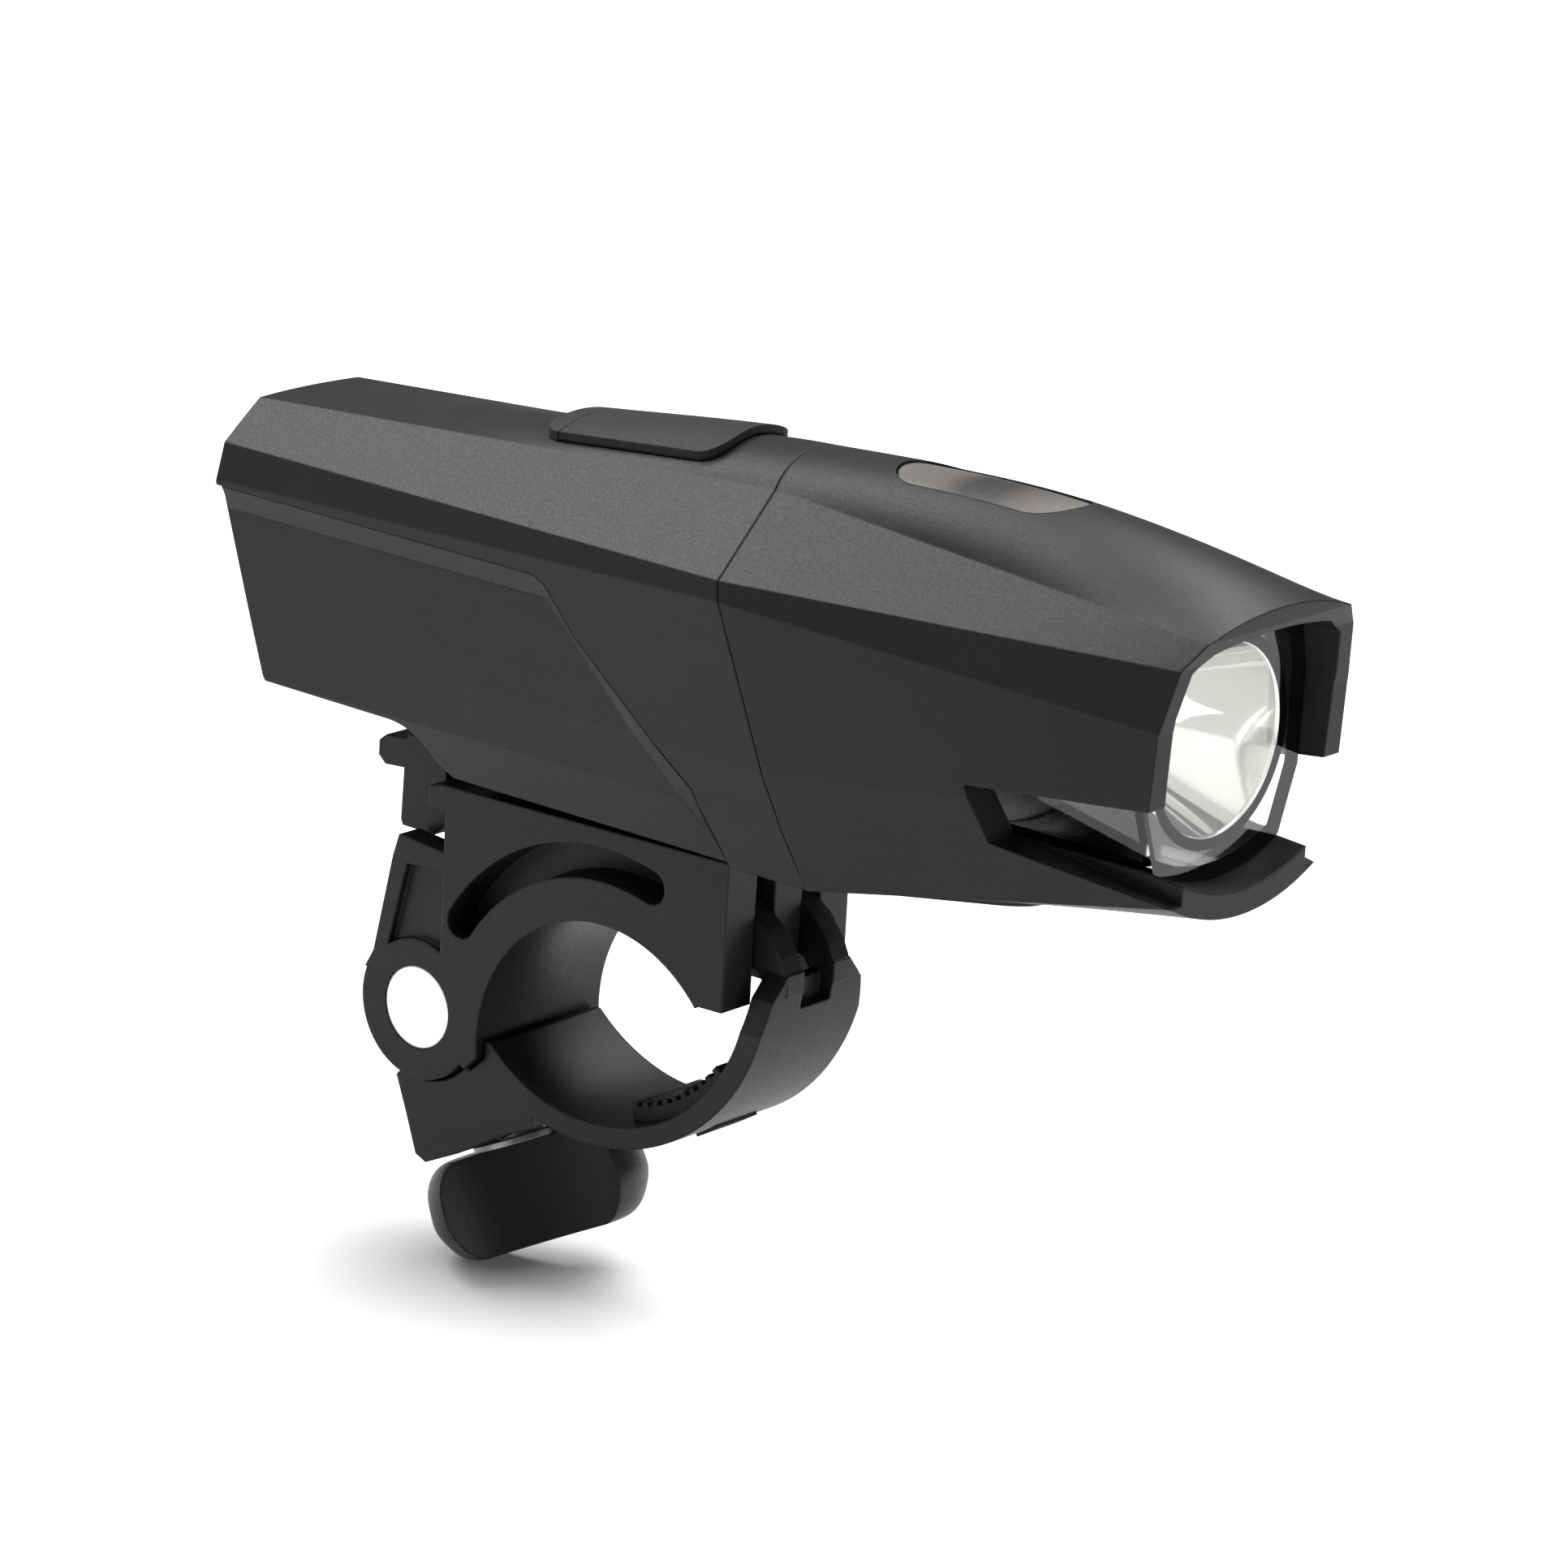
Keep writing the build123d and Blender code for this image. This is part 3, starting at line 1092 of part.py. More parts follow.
with BuildSketch(Plane.XZ) as band_side:
    with Locations((STRAP_OUTER_X, STRAP_OUTER_Z)):
        Circle(STRAP_OUTER)
    with BuildLine():
        Polyline(band_region, close=True)
    make_face(mode=Mode.INTERSECT)
    with Locations((STRAP_INNER_X, STRAP_INNER_Z)):
        Circle(STRAP_INNER, mode=Mode.SUBTRACT)

with BuildSketch(Plane.XZ) as bracket_reach:
    add(bracket_side.sketch_local)
    offset(amount=RUN)

with BuildSketch(Plane.XZ) as lug_side:
    with BuildLine():
        Polyline(lug_outline, close=True)
    make_face()
    with Locations((STRAP_INNER_X, STRAP_INNER_Z)):
        Circle(STRAP_INNER, mode=Mode.SUBTRACT)
    add(bracket_reach.sketch_local, mode=Mode.SUBTRACT)

with BuildSketch(Plane.XZ) as arm_side:
    with BuildLine():
        Polyline(arm_outline, close=True)
    make_face()
    with Locations((HINGE_X, HINGE_Z)):
        Circle(ARM_EYE)

with BuildSketch() as strap_plan:
    with BuildLine():
        Polyline(plan_outline, close=True)
    make_face()

stud_turn = (STRAP_PAD_START + STRAP_PAD_END) / 2
stud_angle = math.radians(stud_turn)
stud_x = STRAP_INNER_X + STRAP_INNER * math.cos(stud_angle)
stud_z = STRAP_INNER_Z + STRAP_INNER * math.sin(stud_angle)
with BuildSketch(Plane.XZ) as stud_side:
    with Locations(Location((stud_x, stud_z, 0), (0, 0, stud_turn))):
        Rectangle(2 * STUD_DEPTH, STUD_LENGTH)

shoulder = from_shares(
    SHOULDER_SHARES, ARM_HALF, SHOULDER_LOW, STRAP_NARROW - ARM_HALF, SHOULDER_TOP - SHOULDER_LOW
)
shoulder_rest = [(ARM_HALF, BIG), (BIG, BIG), (BIG, SHOULDER_LOW)]

with BuildPart() as full_band:
    extrude(band_side.sketch, amount=STRAP_HALF, both=True)
    extrude(lug_side.sketch, amount=STRAP_HALF, both=True)
    extrude(strap_plan.sketch, amount=BIG, both=True, mode=Mode.INTERSECT)
    for side in (-1, 1):
        with BuildSketch(Plane.YZ):
            with BuildLine():
                Polyline([(side * y, z) for y, z in shoulder + shoulder_rest], close=True)
            make_face()
        extrude(amount=BIG, mode=Mode.SUBTRACT)

crotch_x = STRAP_INNER_X + STRAP_INNER + CROTCH_WALL
with BuildPart() as strap:
    extrude(arm_side.sketch, amount=ARM_HALF, both=True)
    add(full_band.part)
    block(0, BIG, ARM_INNER, CROTCH_TOP, BIG, mode=Mode.SUBTRACT)
    block(crotch_x, BIG, ARM_INNER, CROTCH_Z, BIG, mode=Mode.SUBTRACT)
    shaft(PIN_RADIUS + CONTACT_GAP, HINGE_X, HINGE_Z, -BIG, BIG, mode=Mode.SUBTRACT)
    with BuildSketch(bolt_plane()):
        Circle(BOLT_RADIUS + LUG_CLEAR)
    extrude(amount=BIG / 2, mode=Mode.SUBTRACT)
    with BuildSketch(bolt_plane(LUG_FACE)):
        Circle(KNOB_RADIUS + RUN)
    extrude(amount=OVER, mode=Mode.SUBTRACT)
    extrude(stud_side.sketch, amount=STUD_HALF + FIT, both=True, mode=Mode.SUBTRACT)

with BuildSketch(Plane.XZ) as pad_side:
    with Locations((STRAP_INNER_X, STRAP_INNER_Z)):
        Circle(STRAP_INNER)
        Circle(STRAP_INNER - STRAP_PAD_THICK, mode=Mode.SUBTRACT)
    with BuildLine():
        far = STRAP_OUTER * 2
        ends = [math.radians(STRAP_PAD_START), math.radians(STRAP_PAD_END)]
        rays = [(STRAP_INNER_X + far * math.cos(a), STRAP_INNER_Z + far * math.sin(a)) for a in ends]
        Polyline([(STRAP_INNER_X, STRAP_INNER_Z)] + rays, close=True)
    make_face(mode=Mode.INTERSECT)

with BuildPart() as strap_pad:
    extrude(pad_side.sketch, amount=STRAP_PAD_HALF, both=True)
    extrude(stud_side.sketch, amount=STUD_HALF, both=True)
    pad_radius = STRAP_INNER - STRAP_PAD_THICK
    pad_step = math.degrees(STRAP_RIB_PITCH / pad_radius)
    pad_ribs = int((STRAP_PAD_END - STRAP_PAD_START) / pad_step)
    for rib in range(pad_ribs):
        angle = stud_turn + (rib - (pad_ribs - 1) / 2) * pad_step
        with BuildSketch(Plane.XZ) as groove:
            with Locations((STRAP_INNER_X, STRAP_INNER_Z)):
                with PolarLocations(pad_radius, 1, angle):
                    Rectangle(2 * RIB_DEPTH, STRAP_RIB_PITCH / 2)
        extrude(groove.sketch, amount=BIG, both=True, mode=Mode.SUBTRACT)

# Bolt, washer and knob
with BuildPart() as clamp_bolt:
    with BuildSketch(bolt_plane(-BOLT_TIP)):
        Circle(BOLT_RADIUS)
    extrude(amount=BOLT_TIP + KNOB_TOP + BOLT_HOLD)

with BuildPart() as washer:
    with BuildSketch(bolt_plane(KNOB_TOP - WASHER_THICK)):
        Circle(WASHER_RADIUS)
        Circle(BOLT_RADIUS, mode=Mode.SUBTRACT)
    extrude(amount=WASHER_THICK)

knob_plane = bolt_plane(KNOB_TOP, math.radians(KNOB_TURN))
knob_curve = from_shares(KNOB_SHARES, 0, 0, KNOB_RADIUS, KNOB_HEIGHT)
with BuildPart() as knob:
    with BuildSketch(Plane(origin=knob_plane.origin, x_dir=knob_plane.x_dir, z_dir=-knob_plane.y_dir)):
        with BuildLine():
            Spline(knob_curve)
            Polyline(knob_curve[-1], (0, KNOB_HEIGHT), (0, 0), knob_curve[0])
        make_face()
    revolve(axis=Axis(knob_plane.origin, BOLT_DOWN))
    with BuildSketch(knob_plane):
        with Locations((0, SCOOP_DISTANCE), (0, -SCOOP_DISTANCE)):
            Circle(SCOOP_RADIUS)
    extrude(amount=KNOB_HEIGHT + OVER, mode=Mode.SUBTRACT)
    with BuildSketch(knob_plane):
        Circle(BOLT_RADIUS)
    extrude(amount=BOLT_HOLD, mode=Mode.SUBTRACT)

os.makedirs("parts", exist_ok=True)
pieces = {
    "rear_housing": rear_housing,
    "head_housing": head_housing,
    "housing_seal": housing_seal,
    "housing_screws": housing_screws,
    "screw_cover": screw_cover,
    "port_cover": port_cover,
    "cover_anchor": cover_anchor,
    "charge_socket": charge_socket,
    "power_button": power_button,
    "button_seal": button_seal,
    "tactile_switch": tactile_switch,
    "indicator_leds": indicator_leds,
    "control_board": control_board,
    "board_screws": board_screws,
    "lens": lens,
    "lens_seal": lens_seal,
    "reflector": reflector,
    "led_emitter": led_emitter,
    "led_board": led_board,
    "heat_sink": heat_sink,
    "sink_screws": sink_screws,
    "battery_cell": battery_cell,
    "battery_tabs": battery_tabs,
    "battery_pads": battery_pads,
    "mounting_foot": mounting_foot,
    "foot_screws": foot_screws,
    "bracket": bracket,
    "saddle_liner": saddle_liner,
    "release_latch": release_latch,
    "latch_pin": latch_pin,
    "latch_spring": latch_spring,
    "hinge_pin": hinge_pin,
    "barrel_nut": barrel_nut,
    "strap": strap,
    "strap_pad": strap_pad,
    "clamp_bolt": clamp_bolt,
    "washer": washer,
    "knob": knob,
}
for label, piece in pieces.items():
    piece.part.label = label
    export_step(piece.part, f"parts/{label}.step")
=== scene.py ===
import math

import bpy
import numpy as np
from mathutils import Matrix, Vector
from mathutils.bvhtree import BVHTree


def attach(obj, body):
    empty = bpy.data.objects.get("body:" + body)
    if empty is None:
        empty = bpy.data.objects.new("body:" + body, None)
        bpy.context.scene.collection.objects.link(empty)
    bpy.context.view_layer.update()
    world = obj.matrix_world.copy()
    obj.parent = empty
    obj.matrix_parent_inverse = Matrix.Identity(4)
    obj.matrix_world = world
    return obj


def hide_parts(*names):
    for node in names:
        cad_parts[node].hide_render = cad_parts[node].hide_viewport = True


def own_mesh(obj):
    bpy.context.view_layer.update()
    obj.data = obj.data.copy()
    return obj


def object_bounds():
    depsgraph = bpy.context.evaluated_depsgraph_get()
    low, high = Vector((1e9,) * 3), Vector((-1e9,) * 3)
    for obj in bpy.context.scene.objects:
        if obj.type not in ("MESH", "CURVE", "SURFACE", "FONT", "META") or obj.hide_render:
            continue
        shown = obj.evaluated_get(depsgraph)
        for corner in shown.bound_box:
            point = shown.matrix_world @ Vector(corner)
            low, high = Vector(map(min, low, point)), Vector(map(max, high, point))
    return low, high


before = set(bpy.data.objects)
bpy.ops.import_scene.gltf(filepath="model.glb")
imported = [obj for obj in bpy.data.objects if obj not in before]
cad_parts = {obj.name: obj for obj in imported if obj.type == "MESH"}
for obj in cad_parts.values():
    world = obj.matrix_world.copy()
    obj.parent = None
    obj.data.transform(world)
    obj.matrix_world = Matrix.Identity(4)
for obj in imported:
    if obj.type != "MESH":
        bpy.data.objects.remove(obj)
cad_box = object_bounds()
MM = 0.001


# Looks: widths of the patterns in the surfaces, the spans of noise they use, tints of the button
# that paint a reflection on it

CLOUD_WIDTH = 9 * MM
PEEL_WIDTH = 2.5 * MM
HAZE_WIDTH = 1.2 * MM
SATIN_GRIT = 0.25 * MM
TRACK_CELL = 1.6 * MM
NOISE_SPAN = {"From Min": 0.3, "From Max": 0.7}
TINT_SPAN = (0.35, 0.65)
EDGE_SAMPLES = 6
BUTTON_SPAN = {"From Min": 26.75 * MM, "From Max": 47.25 * MM}
# Paler ends and a dark middle along the button: a painted reflection, not the smoke tint itself
BUTTON_PAINTED_REFLECTION = [
    (0.0, "#6f6b68"),
    (0.3, "#625e5b"),
    (0.44, "#2f2c2b"),
    (0.6, "#35322f"),
    (0.74, "#5a5653"),
    (1.0, "#75716d"),
]


def hex_colour(text):
    """sRGB hex to linear RGBA, channel by channel."""
    channels = [int(text[at : at + 2], 16) / 255 for at in (1, 3, 5)]
    linear = [c / 12.92 if c <= 0.04045 else ((c + 0.055) / 1.055) ** 2.4 for c in channels]
    return (*linear, 1.0)


def add_node(tree, kind, settings=None, links=None, stops=()):
    """Adds a shader node, sets its options, sockets and colour stops and joins its inputs."""
    node = tree.nodes.new("ShaderNode" + kind)
    for key, value in (settings or {}).items():
        if isinstance(key, str) and hasattr(node, key):
            setattr(node, key, value)
        else:
            node.inputs[key].default_value = value
    for key, source in (links or {}).items():
        tree.links.new(source, node.inputs[key])
    for at, (position, colour) in enumerate(stops):
        element = node.color_ramp.elements[at] if at < 2 else node.color_ramp.elements.new(position)
        element.position = position
        element.color = hex_colour(colour)
    return node


def new_material(name, surface):
    """Material with a Principled surface, set from the surface's plain values."""
    material = bpy.data.materials.new(name)
    material.use_nodes = True
    tree = material.node_tree
    tree.nodes.clear()
    shader = add_node(tree, "BsdfPrincipled", surface)
    add_node(tree, "OutputMaterial", links={"Surface": shader.outputs["BSDF"]})
    place = add_node(tree, "TexCoord").outputs["Object"]
    return material, tree, shader, place


def grained(name, surface, tints, gloss_span, fine_noise, relief, edge, cloud_noise=None):
    """Material with a fine grain in its gloss and relief, a tint that varies and rounded edges.

    The tint follows the clouds, or the grain itself where there are none.
    """
    material, tree, shader, place = new_material(name, surface)
    fine = add_node(tree, "TexNoise", fine_noise, {"Vector": place})
    cloud = add_node(tree, "TexNoise", cloud_noise, {"Vector": place}) if cloud_noise else fine
    stops = list(zip(TINT_SPAN, tints))
    tint = add_node(tree, "ValToRGB", links={"Fac": cloud.outputs["Fac"]}, stops=stops)
    tree.links.new(tint.outputs["Color"], shader.inputs["Base Color"])
    gloss = add_node(tree, "MapRange", NOISE_SPAN | gloss_span, {"Value": fine.outputs["Fac"]})
    tree.links.new(gloss.outputs["Result"], shader.inputs["Roughness"])
    corner = add_node(tree, "Bevel", {"samples": EDGE_SAMPLES, "Radius": edge})
    links = {"Height": fine.outputs["Fac"], "Normal": corner.outputs["Normal"]}
    bump = add_node(tree, "Bump", relief, links)
    tree.links.new(bump.outputs["Normal"], shader.inputs["Normal"])
    return material


def moulded(name, dark, light, roughness, grit, height, edge, specular=0.5):
    """Moulded plastic or rubber: fine tool texture, faint clouds in the colour, soft edges."""
    surface = {"Specular IOR Level": specular, "IOR": 1.5}
    gloss_span = {"To Min": roughness - 0.05, "To Max": roughness + 0.05}
    fine = {"Scale": 1 / grit, "Detail": 1.0, "Roughness": 0.5}
    cloud = {"Scale": 1 / CLOUD_WIDTH, "Detail": 3.0, "Roughness": 0.6}
    relief = {"Strength": 0.35, "Distance": height}
    return grained(name, surface, (dark, light), gloss_span, fine, relief, edge, cloud)


def metal(name, dark, light, roughness, grit, height, edge):
    """Metal with a fine grain, from tumbling, casting or rolling, and broken edges."""
    gloss_span = {"To Min": roughness - 0.04, "To Max": roughness + 0.06}
    fine = {"Scale": 1 / grit, "Detail": 2.0, "Roughness": 0.6}
    relief = {"Strength": 0.2, "Distance": height}
    return grained(name, {"Metallic": 1.0}, (dark, light), gloss_span, fine, relief, edge)


def vapour_chrome():
    """Vapour-coated reflector: a clean mirror with the faint orange peel of its base lacquer."""
    surface = {"Metallic": 1.0, "Base Color": hex_colour("#ebeae8"), "Roughness": 0.05}
    material, tree, shader, place = new_material("aluminium_vapour_coat", surface)
    settings = {"Scale": 1 / PEEL_WIDTH, "Detail": 1.0, "Roughness": 0.4}
    peel = add_node(tree, "TexNoise", settings, {"Vector": place})
    settings = {"Strength": 0.12, "Distance": 0.05 * MM}
    bump = add_node(tree, "Bump", settings, {"Height": peel.outputs["Fac"]})
    tree.links.new(bump.outputs["Normal"], shader.inputs["Normal"])
    return material


def clear_polycarbonate():
    """Clear polished polycarbonate with a faint haze of fine wiping marks."""
    surface = {"Base Color": hex_colour("#f7f7f6"), "Transmission Weight": 1.0, "IOR": 1.585}
    material, tree, shader, place = new_material("polycarbonate_clear_polished", surface)
    settings = {"Scale": 1 / HAZE_WIDTH, "Detail": 3.0, "Roughness": 0.7}
    haze = add_node(tree, "TexNoise", settings, {"Vector": place})
    settings = NOISE_SPAN | {"To Min": 0.01, "To Max": 0.05}
    gloss = add_node(tree, "MapRange", settings, {"Value": haze.outputs["Fac"]})
    tree.links.new(gloss.outputs["Result"], shader.inputs["Roughness"])
    return material


def smoke_polycarbonate():
    """Smoke-tinted satin polycarbonate: dark in the middle and paler towards its ends, over the
    wells there, a painted reflection of two soft light patches on its glossy top.
    """
    material, tree, shader, place = new_material("polycarbonate_smoke_satin_painted_reflection", {"IOR": 1.585})
    along = add_node(tree, "SeparateXYZ", links={"Vector": place})
    share = add_node(tree, "MapRange", BUTTON_SPAN, {"Value": along.outputs["X"]})
    links = {"Fac": share.outputs["Result"]}
    # This ramp paints the reflection: pale towards both ends, dark in the middle
    tint = add_node(tree, "ValToRGB", links=links, stops=BUTTON_PAINTED_REFLECTION)
    tree.links.new(tint.outputs["Color"], shader.inputs["Base Color"])
    fine = add_node(tree, "TexNoise", {"Scale": 1 / SATIN_GRIT, "Detail": 1.0}, {"Vector": place})
    settings = NOISE_SPAN | {"To Min": 0.34, "To Max": 0.42}
    gloss = add_node(tree, "MapRange", settings, {"Value": fine.outputs["Fac"]})
    tree.links.new(gloss.outputs["Result"], shader.inputs["Roughness"])
    return material


def solder_mask():
    """Green solder mask over copper, in rows 0.4 mm apart with darker, slightly raised lines."""
    material, tree, shader, place = new_material("laminate_green_solder_mask", {"Roughness": 0.3})
    tracks = {"Scale": 1 / TRACK_CELL, "Mortar Size": 0.06, "Brick Width": 1.2, "Row Height": 0.25}
    for key, colour in (("Color1", "#1f5a3a"), ("Color2", "#1a4f33"), ("Mortar", "#123c26")):
        tracks[key] = hex_colour(colour)
    copper = add_node(tree, "TexBrick", tracks, {"Vector": place})
    tree.links.new(copper.outputs["Color"], shader.inputs["Base Color"])
    settings = {"Strength": 0.3, "Distance": 0.03 * MM}
    bump = add_node(tree, "Bump", settings, {"Height": copper.outputs["Fac"]})
    tree.links.new(bump.outputs["Normal"], shader.inputs["Normal"])
    return material


# Plastics and metals: name, dark and light tint, roughness, width and height of the grain, radius
# of the edges and, for some, a specular level below the usual 0.5, as the dark pieces mirror
# little of the white around them in the photograph

# Charcoal ABS from a spark-eroded mould: matt, grain of about 0.15 mm drawn at 0.25 mm to show
abs_charcoal = moulded(
    "abs_charcoal_spark_eroded", "#21201f", "#252423", 0.45, 0.25 * MM, 0.02 * MM, 0.3 * MM, 0.28
)
# Glass-filled nylon: a touch glossier, with faint flow clouds
nylon_black = moulded(
    "nylon_glass_filled_black", "#201f1d", "#262423", 0.42, 0.3 * MM, 0.03 * MM, 0.35 * MM, 0.28
)
# Silicone rubber: dull, with a fine bloom
silicone = moulded(
    "silicone_rubber_black", "#1e1e1e", "#242424", 0.6, 0.4 * MM, 0.02 * MM, 0.3 * MM, 0.35
)
# EPDM foam: open cells of about 0.6 mm
foam = moulded("epdm_foam", "#1b1b1b", "#262626", 0.9, 0.6 * MM, 0.2 * MM, 0.3 * MM, 0.2)
# Heat-shrink PVC of a cell: smooth and glossy
shrink_wrap = moulded(
    "pvc_heat_shrink", "#1f4d86", "#24558f", 0.25, 0.8 * MM, 0.02 * MM, 0.2 * MM
)
# White moulded polymer of small electronic parts: satin
lamp_white = moulded(
    "polyphthalamide_white", "#d9d8d2", "#e4e3dd", 0.4, 0.2 * MM, 0.01 * MM, 0.1 * MM
)
# Die-cast aluminium: grainy and dull
cast_aluminium = metal(
    "aluminium_die_cast", "#a9abae", "#bdbfc2", 0.45, 0.4 * MM, 0.03 * MM, 0.2 * MM
)
# Bright nickel on turned and stamped metal: almost white, with a faint grain
bright_nickel = metal(
    "nickel_plated_bright", "#f1f0ee", "#fbfaf8", 0.3, 0.5 * MM, 0.01 * MM, 0.25 * MM
)
# Zinc-plated steel of screws, pins, spring, bolt and washer: grey with a soft shine
zinc_steel = metal(
    "steel_zinc_plated", "#8f9194", "#a3a5a8", 0.32, 0.3 * MM, 0.02 * MM, 0.1 * MM
)
mirror_coat = vapour_chrome()
clear_pc = clear_polycarbonate()
smoke_pc = smoke_polycarbonate()
circuit_green = solder_mask()

finishes = {
    abs_charcoal: ["rear_housing", "head_housing", "screw_cover"],
    nylon_black: ["mounting_foot", "bracket", "release_latch", "strap", "knob"],
    silicone: [
        "port_cover",
        "cover_anchor",
        "housing_seal",
        "button_seal",
        "lens_seal",
        "saddle_liner",
        "strap_pad",
    ],
    foam: ["battery_pads"],
    shrink_wrap: ["battery_cell"],
    lamp_white: ["tactile_switch", "indicator_leds", "led_emitter"],
    cast_aluminium: ["heat_sink", "led_board"],
    bright_nickel: ["barrel_nut", "battery_tabs", "charge_socket"],
    zinc_steel: [
        "housing_screws",
        "board_screws",
        "sink_screws",
        "foot_screws",
        "latch_pin",
        "latch_spring",
        "hinge_pin",
        "clamp_bolt",
        "washer",
    ],
    mirror_coat: ["reflector"],
    clear_pc: ["lens"],
    smoke_pc: ["power_button"],
    circuit_green: ["control_board"],
}
for material, nodes in finishes.items():
    for node in nodes:
        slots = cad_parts[node].data.materials
        slots.clear()
        slots.append(material)


# Pieces that the solids leave plain, sizes in millimetres

BEAM_Z = 47.9
MIRROR_FRONT = 63.5
MIRROR_TIP = 50.275
MIRROR_FOCUS = 1.6
MIRROR_WALL = 1.0
MIRROR_FLAT = 9.25
THROAT_RADIUS = 2.8
MOUTH_RADIUS = 9.2
FLANGE_RADIUS = 10.3
FLANGE_THICK = 0.9
SHOULDER_RADIUS = 9.9
SHOULDER_DEPTH = 1.0
BACK_RADIUS = 9.7
BACK_LEAN = 0.6
NECK_RADIUS = 3.8
NECK_END_RADIUS = 3.7
NECK_DEPTH = 1.03
BOWL_STEPS = 40
BACK_STEPS = 16
MIRROR_TURNS = 120

SPRING_X = -10.5
SPRING_STEPS = 240
WIRE_SIDES = 10

# The panel's edge and the line inside it as x and z, and the share of the way at each point
PANEL_EDGE = [
    (-49.3, 50.47),
    (-5.5, 51.3),
    (-3.66, 50.56),
    (0.02, 46.35),
    (14.51, 34.22),
    (17.5, 27.1),
]
PANEL_INNER = [(-49.0, 47.9), (-4.4, 48.7), (-3.6, 47.9), (0.2, 44.0), (14.0, 30.2), (17.1, 27.2)]
PANEL_SHARES = [0.0, 0.5, 0.53, 0.62, 0.93, 1.0]
PANEL_STEPS = 181
EDGE_APART = 0.2
EDGE_SINK = 0.05
INNER_SINK = 0.01
RAY_START = 30
MISS_DEPTH = 15


def new_piece(name, points, faces, material, body, smooth=True):
    """Closed mesh from numpy points in metres, turned outward, that rides on a body."""
    corners = [points[list(face)] for face in faces]
    volume = sum(
        np.dot(c[0], np.cross(c[i], c[i + 1])) for c in corners for i in range(1, len(c) - 1)
    )
    if volume < 0:
        faces = [tuple(reversed(face)) for face in faces]
    mesh = bpy.data.meshes.new(name)
    mesh.from_pydata(points.tolist(), [], faces)
    mesh.polygons.foreach_set("use_smooth", [smooth] * len(mesh.polygons))
    mesh.materials.append(material)
    piece = bpy.data.objects.new(name, mesh)
    bpy.context.scene.collection.objects.link(piece)
    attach(piece, body)
    return piece


def ring_faces(rows, columns, closed_rows):
    """Quads of a grid of rows by columns whose columns close, and whose rows close where asked."""
    faces = []
    for row in range(rows if closed_rows else rows - 1):
        here, below = row * columns, (row + 1) % rows * columns
        for column in range(columns):
            after = (column + 1) % columns
            faces.append((here + column, here + after, below + after, below + column))
    return faces


def mirror_bowl():
    """Reflector with a back: an outline turned about the beam, cut flat 9.25 mm above it.

    The bowl's x is its tip plus the squared radius over four focal lengths, and a flange stands
    out from its mouth. The back has the x of the bowl at a radius a wall smaller, less a share
    that grows from nothing at the neck to the lean at the rim.
    """
    profile = []
    for r in np.linspace(THROAT_RADIUS, MOUTH_RADIUS, BOWL_STEPS):
        profile.append((MIRROR_TIP + r * r / (4 * MIRROR_FOCUS), r))
    profile.append((MIRROR_FRONT, FLANGE_RADIUS))
    profile.append((MIRROR_FRONT - FLANGE_THICK, FLANGE_RADIUS))
    profile.append((MIRROR_FRONT - SHOULDER_DEPTH, SHOULDER_RADIUS))
    for r in np.linspace(BACK_RADIUS, NECK_RADIUS, BACK_STEPS):
        lean = BACK_LEAN * (r - NECK_RADIUS) / (BACK_RADIUS - NECK_RADIUS)
        profile.append((MIRROR_TIP + (r - MIRROR_WALL) ** 2 / (4 * MIRROR_FOCUS) - lean, r))
    profile.append((MIRROR_TIP + NECK_DEPTH, NECK_END_RADIUS))
    profile.append((MIRROR_TIP + NECK_DEPTH, THROAT_RADIUS))
    turns = np.linspace(0, 2 * math.pi, MIRROR_TURNS, endpoint=False)
    rows = []
    for x, r in profile:
        high = np.clip(r * np.sin(turns), -r, MIRROR_FLAT)
        rows.append(np.stack([np.full_like(turns, x), r * np.cos(turns), BEAM_Z + high], axis=1))
    points = np.concatenate(rows) * MM
    faces = ring_faces(len(rows), len(turns), True)
    piece = new_piece("mirror_bowl", points, faces, mirror_coat, "light")
    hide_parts("reflector")


def catch_spring():
    """Coil of a round wire on a helix, from the floor of the catch's slot up to the catch.

    The height climbs evenly with the angle between a flat half turn at the foot and one at the top.
    """
    wire, radius, low, high, turns, flat = 0.26, 1.6, 18.6, 22.2, 5.5, 0.5
    angles = np.linspace(0, 2 * math.pi * turns, SPRING_STEPS)
    climb = np.clip((angles / (2 * math.pi) - flat) / (turns - 2 * flat), 0, 1)
    z = low + wire + climb * (high - low - 2 * wire)
    around = np.linspace(0, 2 * math.pi, WIRE_SIDES, endpoint=False)
    rows = []
    for angle, level in zip(angles, z):
        out = radius + wire * np.cos(around)
        x, y = SPRING_X + out * math.cos(angle), out * math.sin(angle)
        rows.append(np.stack([x, y, level + wire * np.sin(around)], axis=1))
    points = np.concatenate(rows) * MM
    faces = ring_faces(len(rows), WIRE_SIDES, False)
    faces.append(tuple(reversed(range(WIRE_SIDES))))
    faces.append(tuple(range(len(points) - WIRE_SIDES, len(points))))
    piece = new_piece("catch_spring", points, faces, zinc_steel, "bracket")
    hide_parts("latch_spring")
    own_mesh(piece)


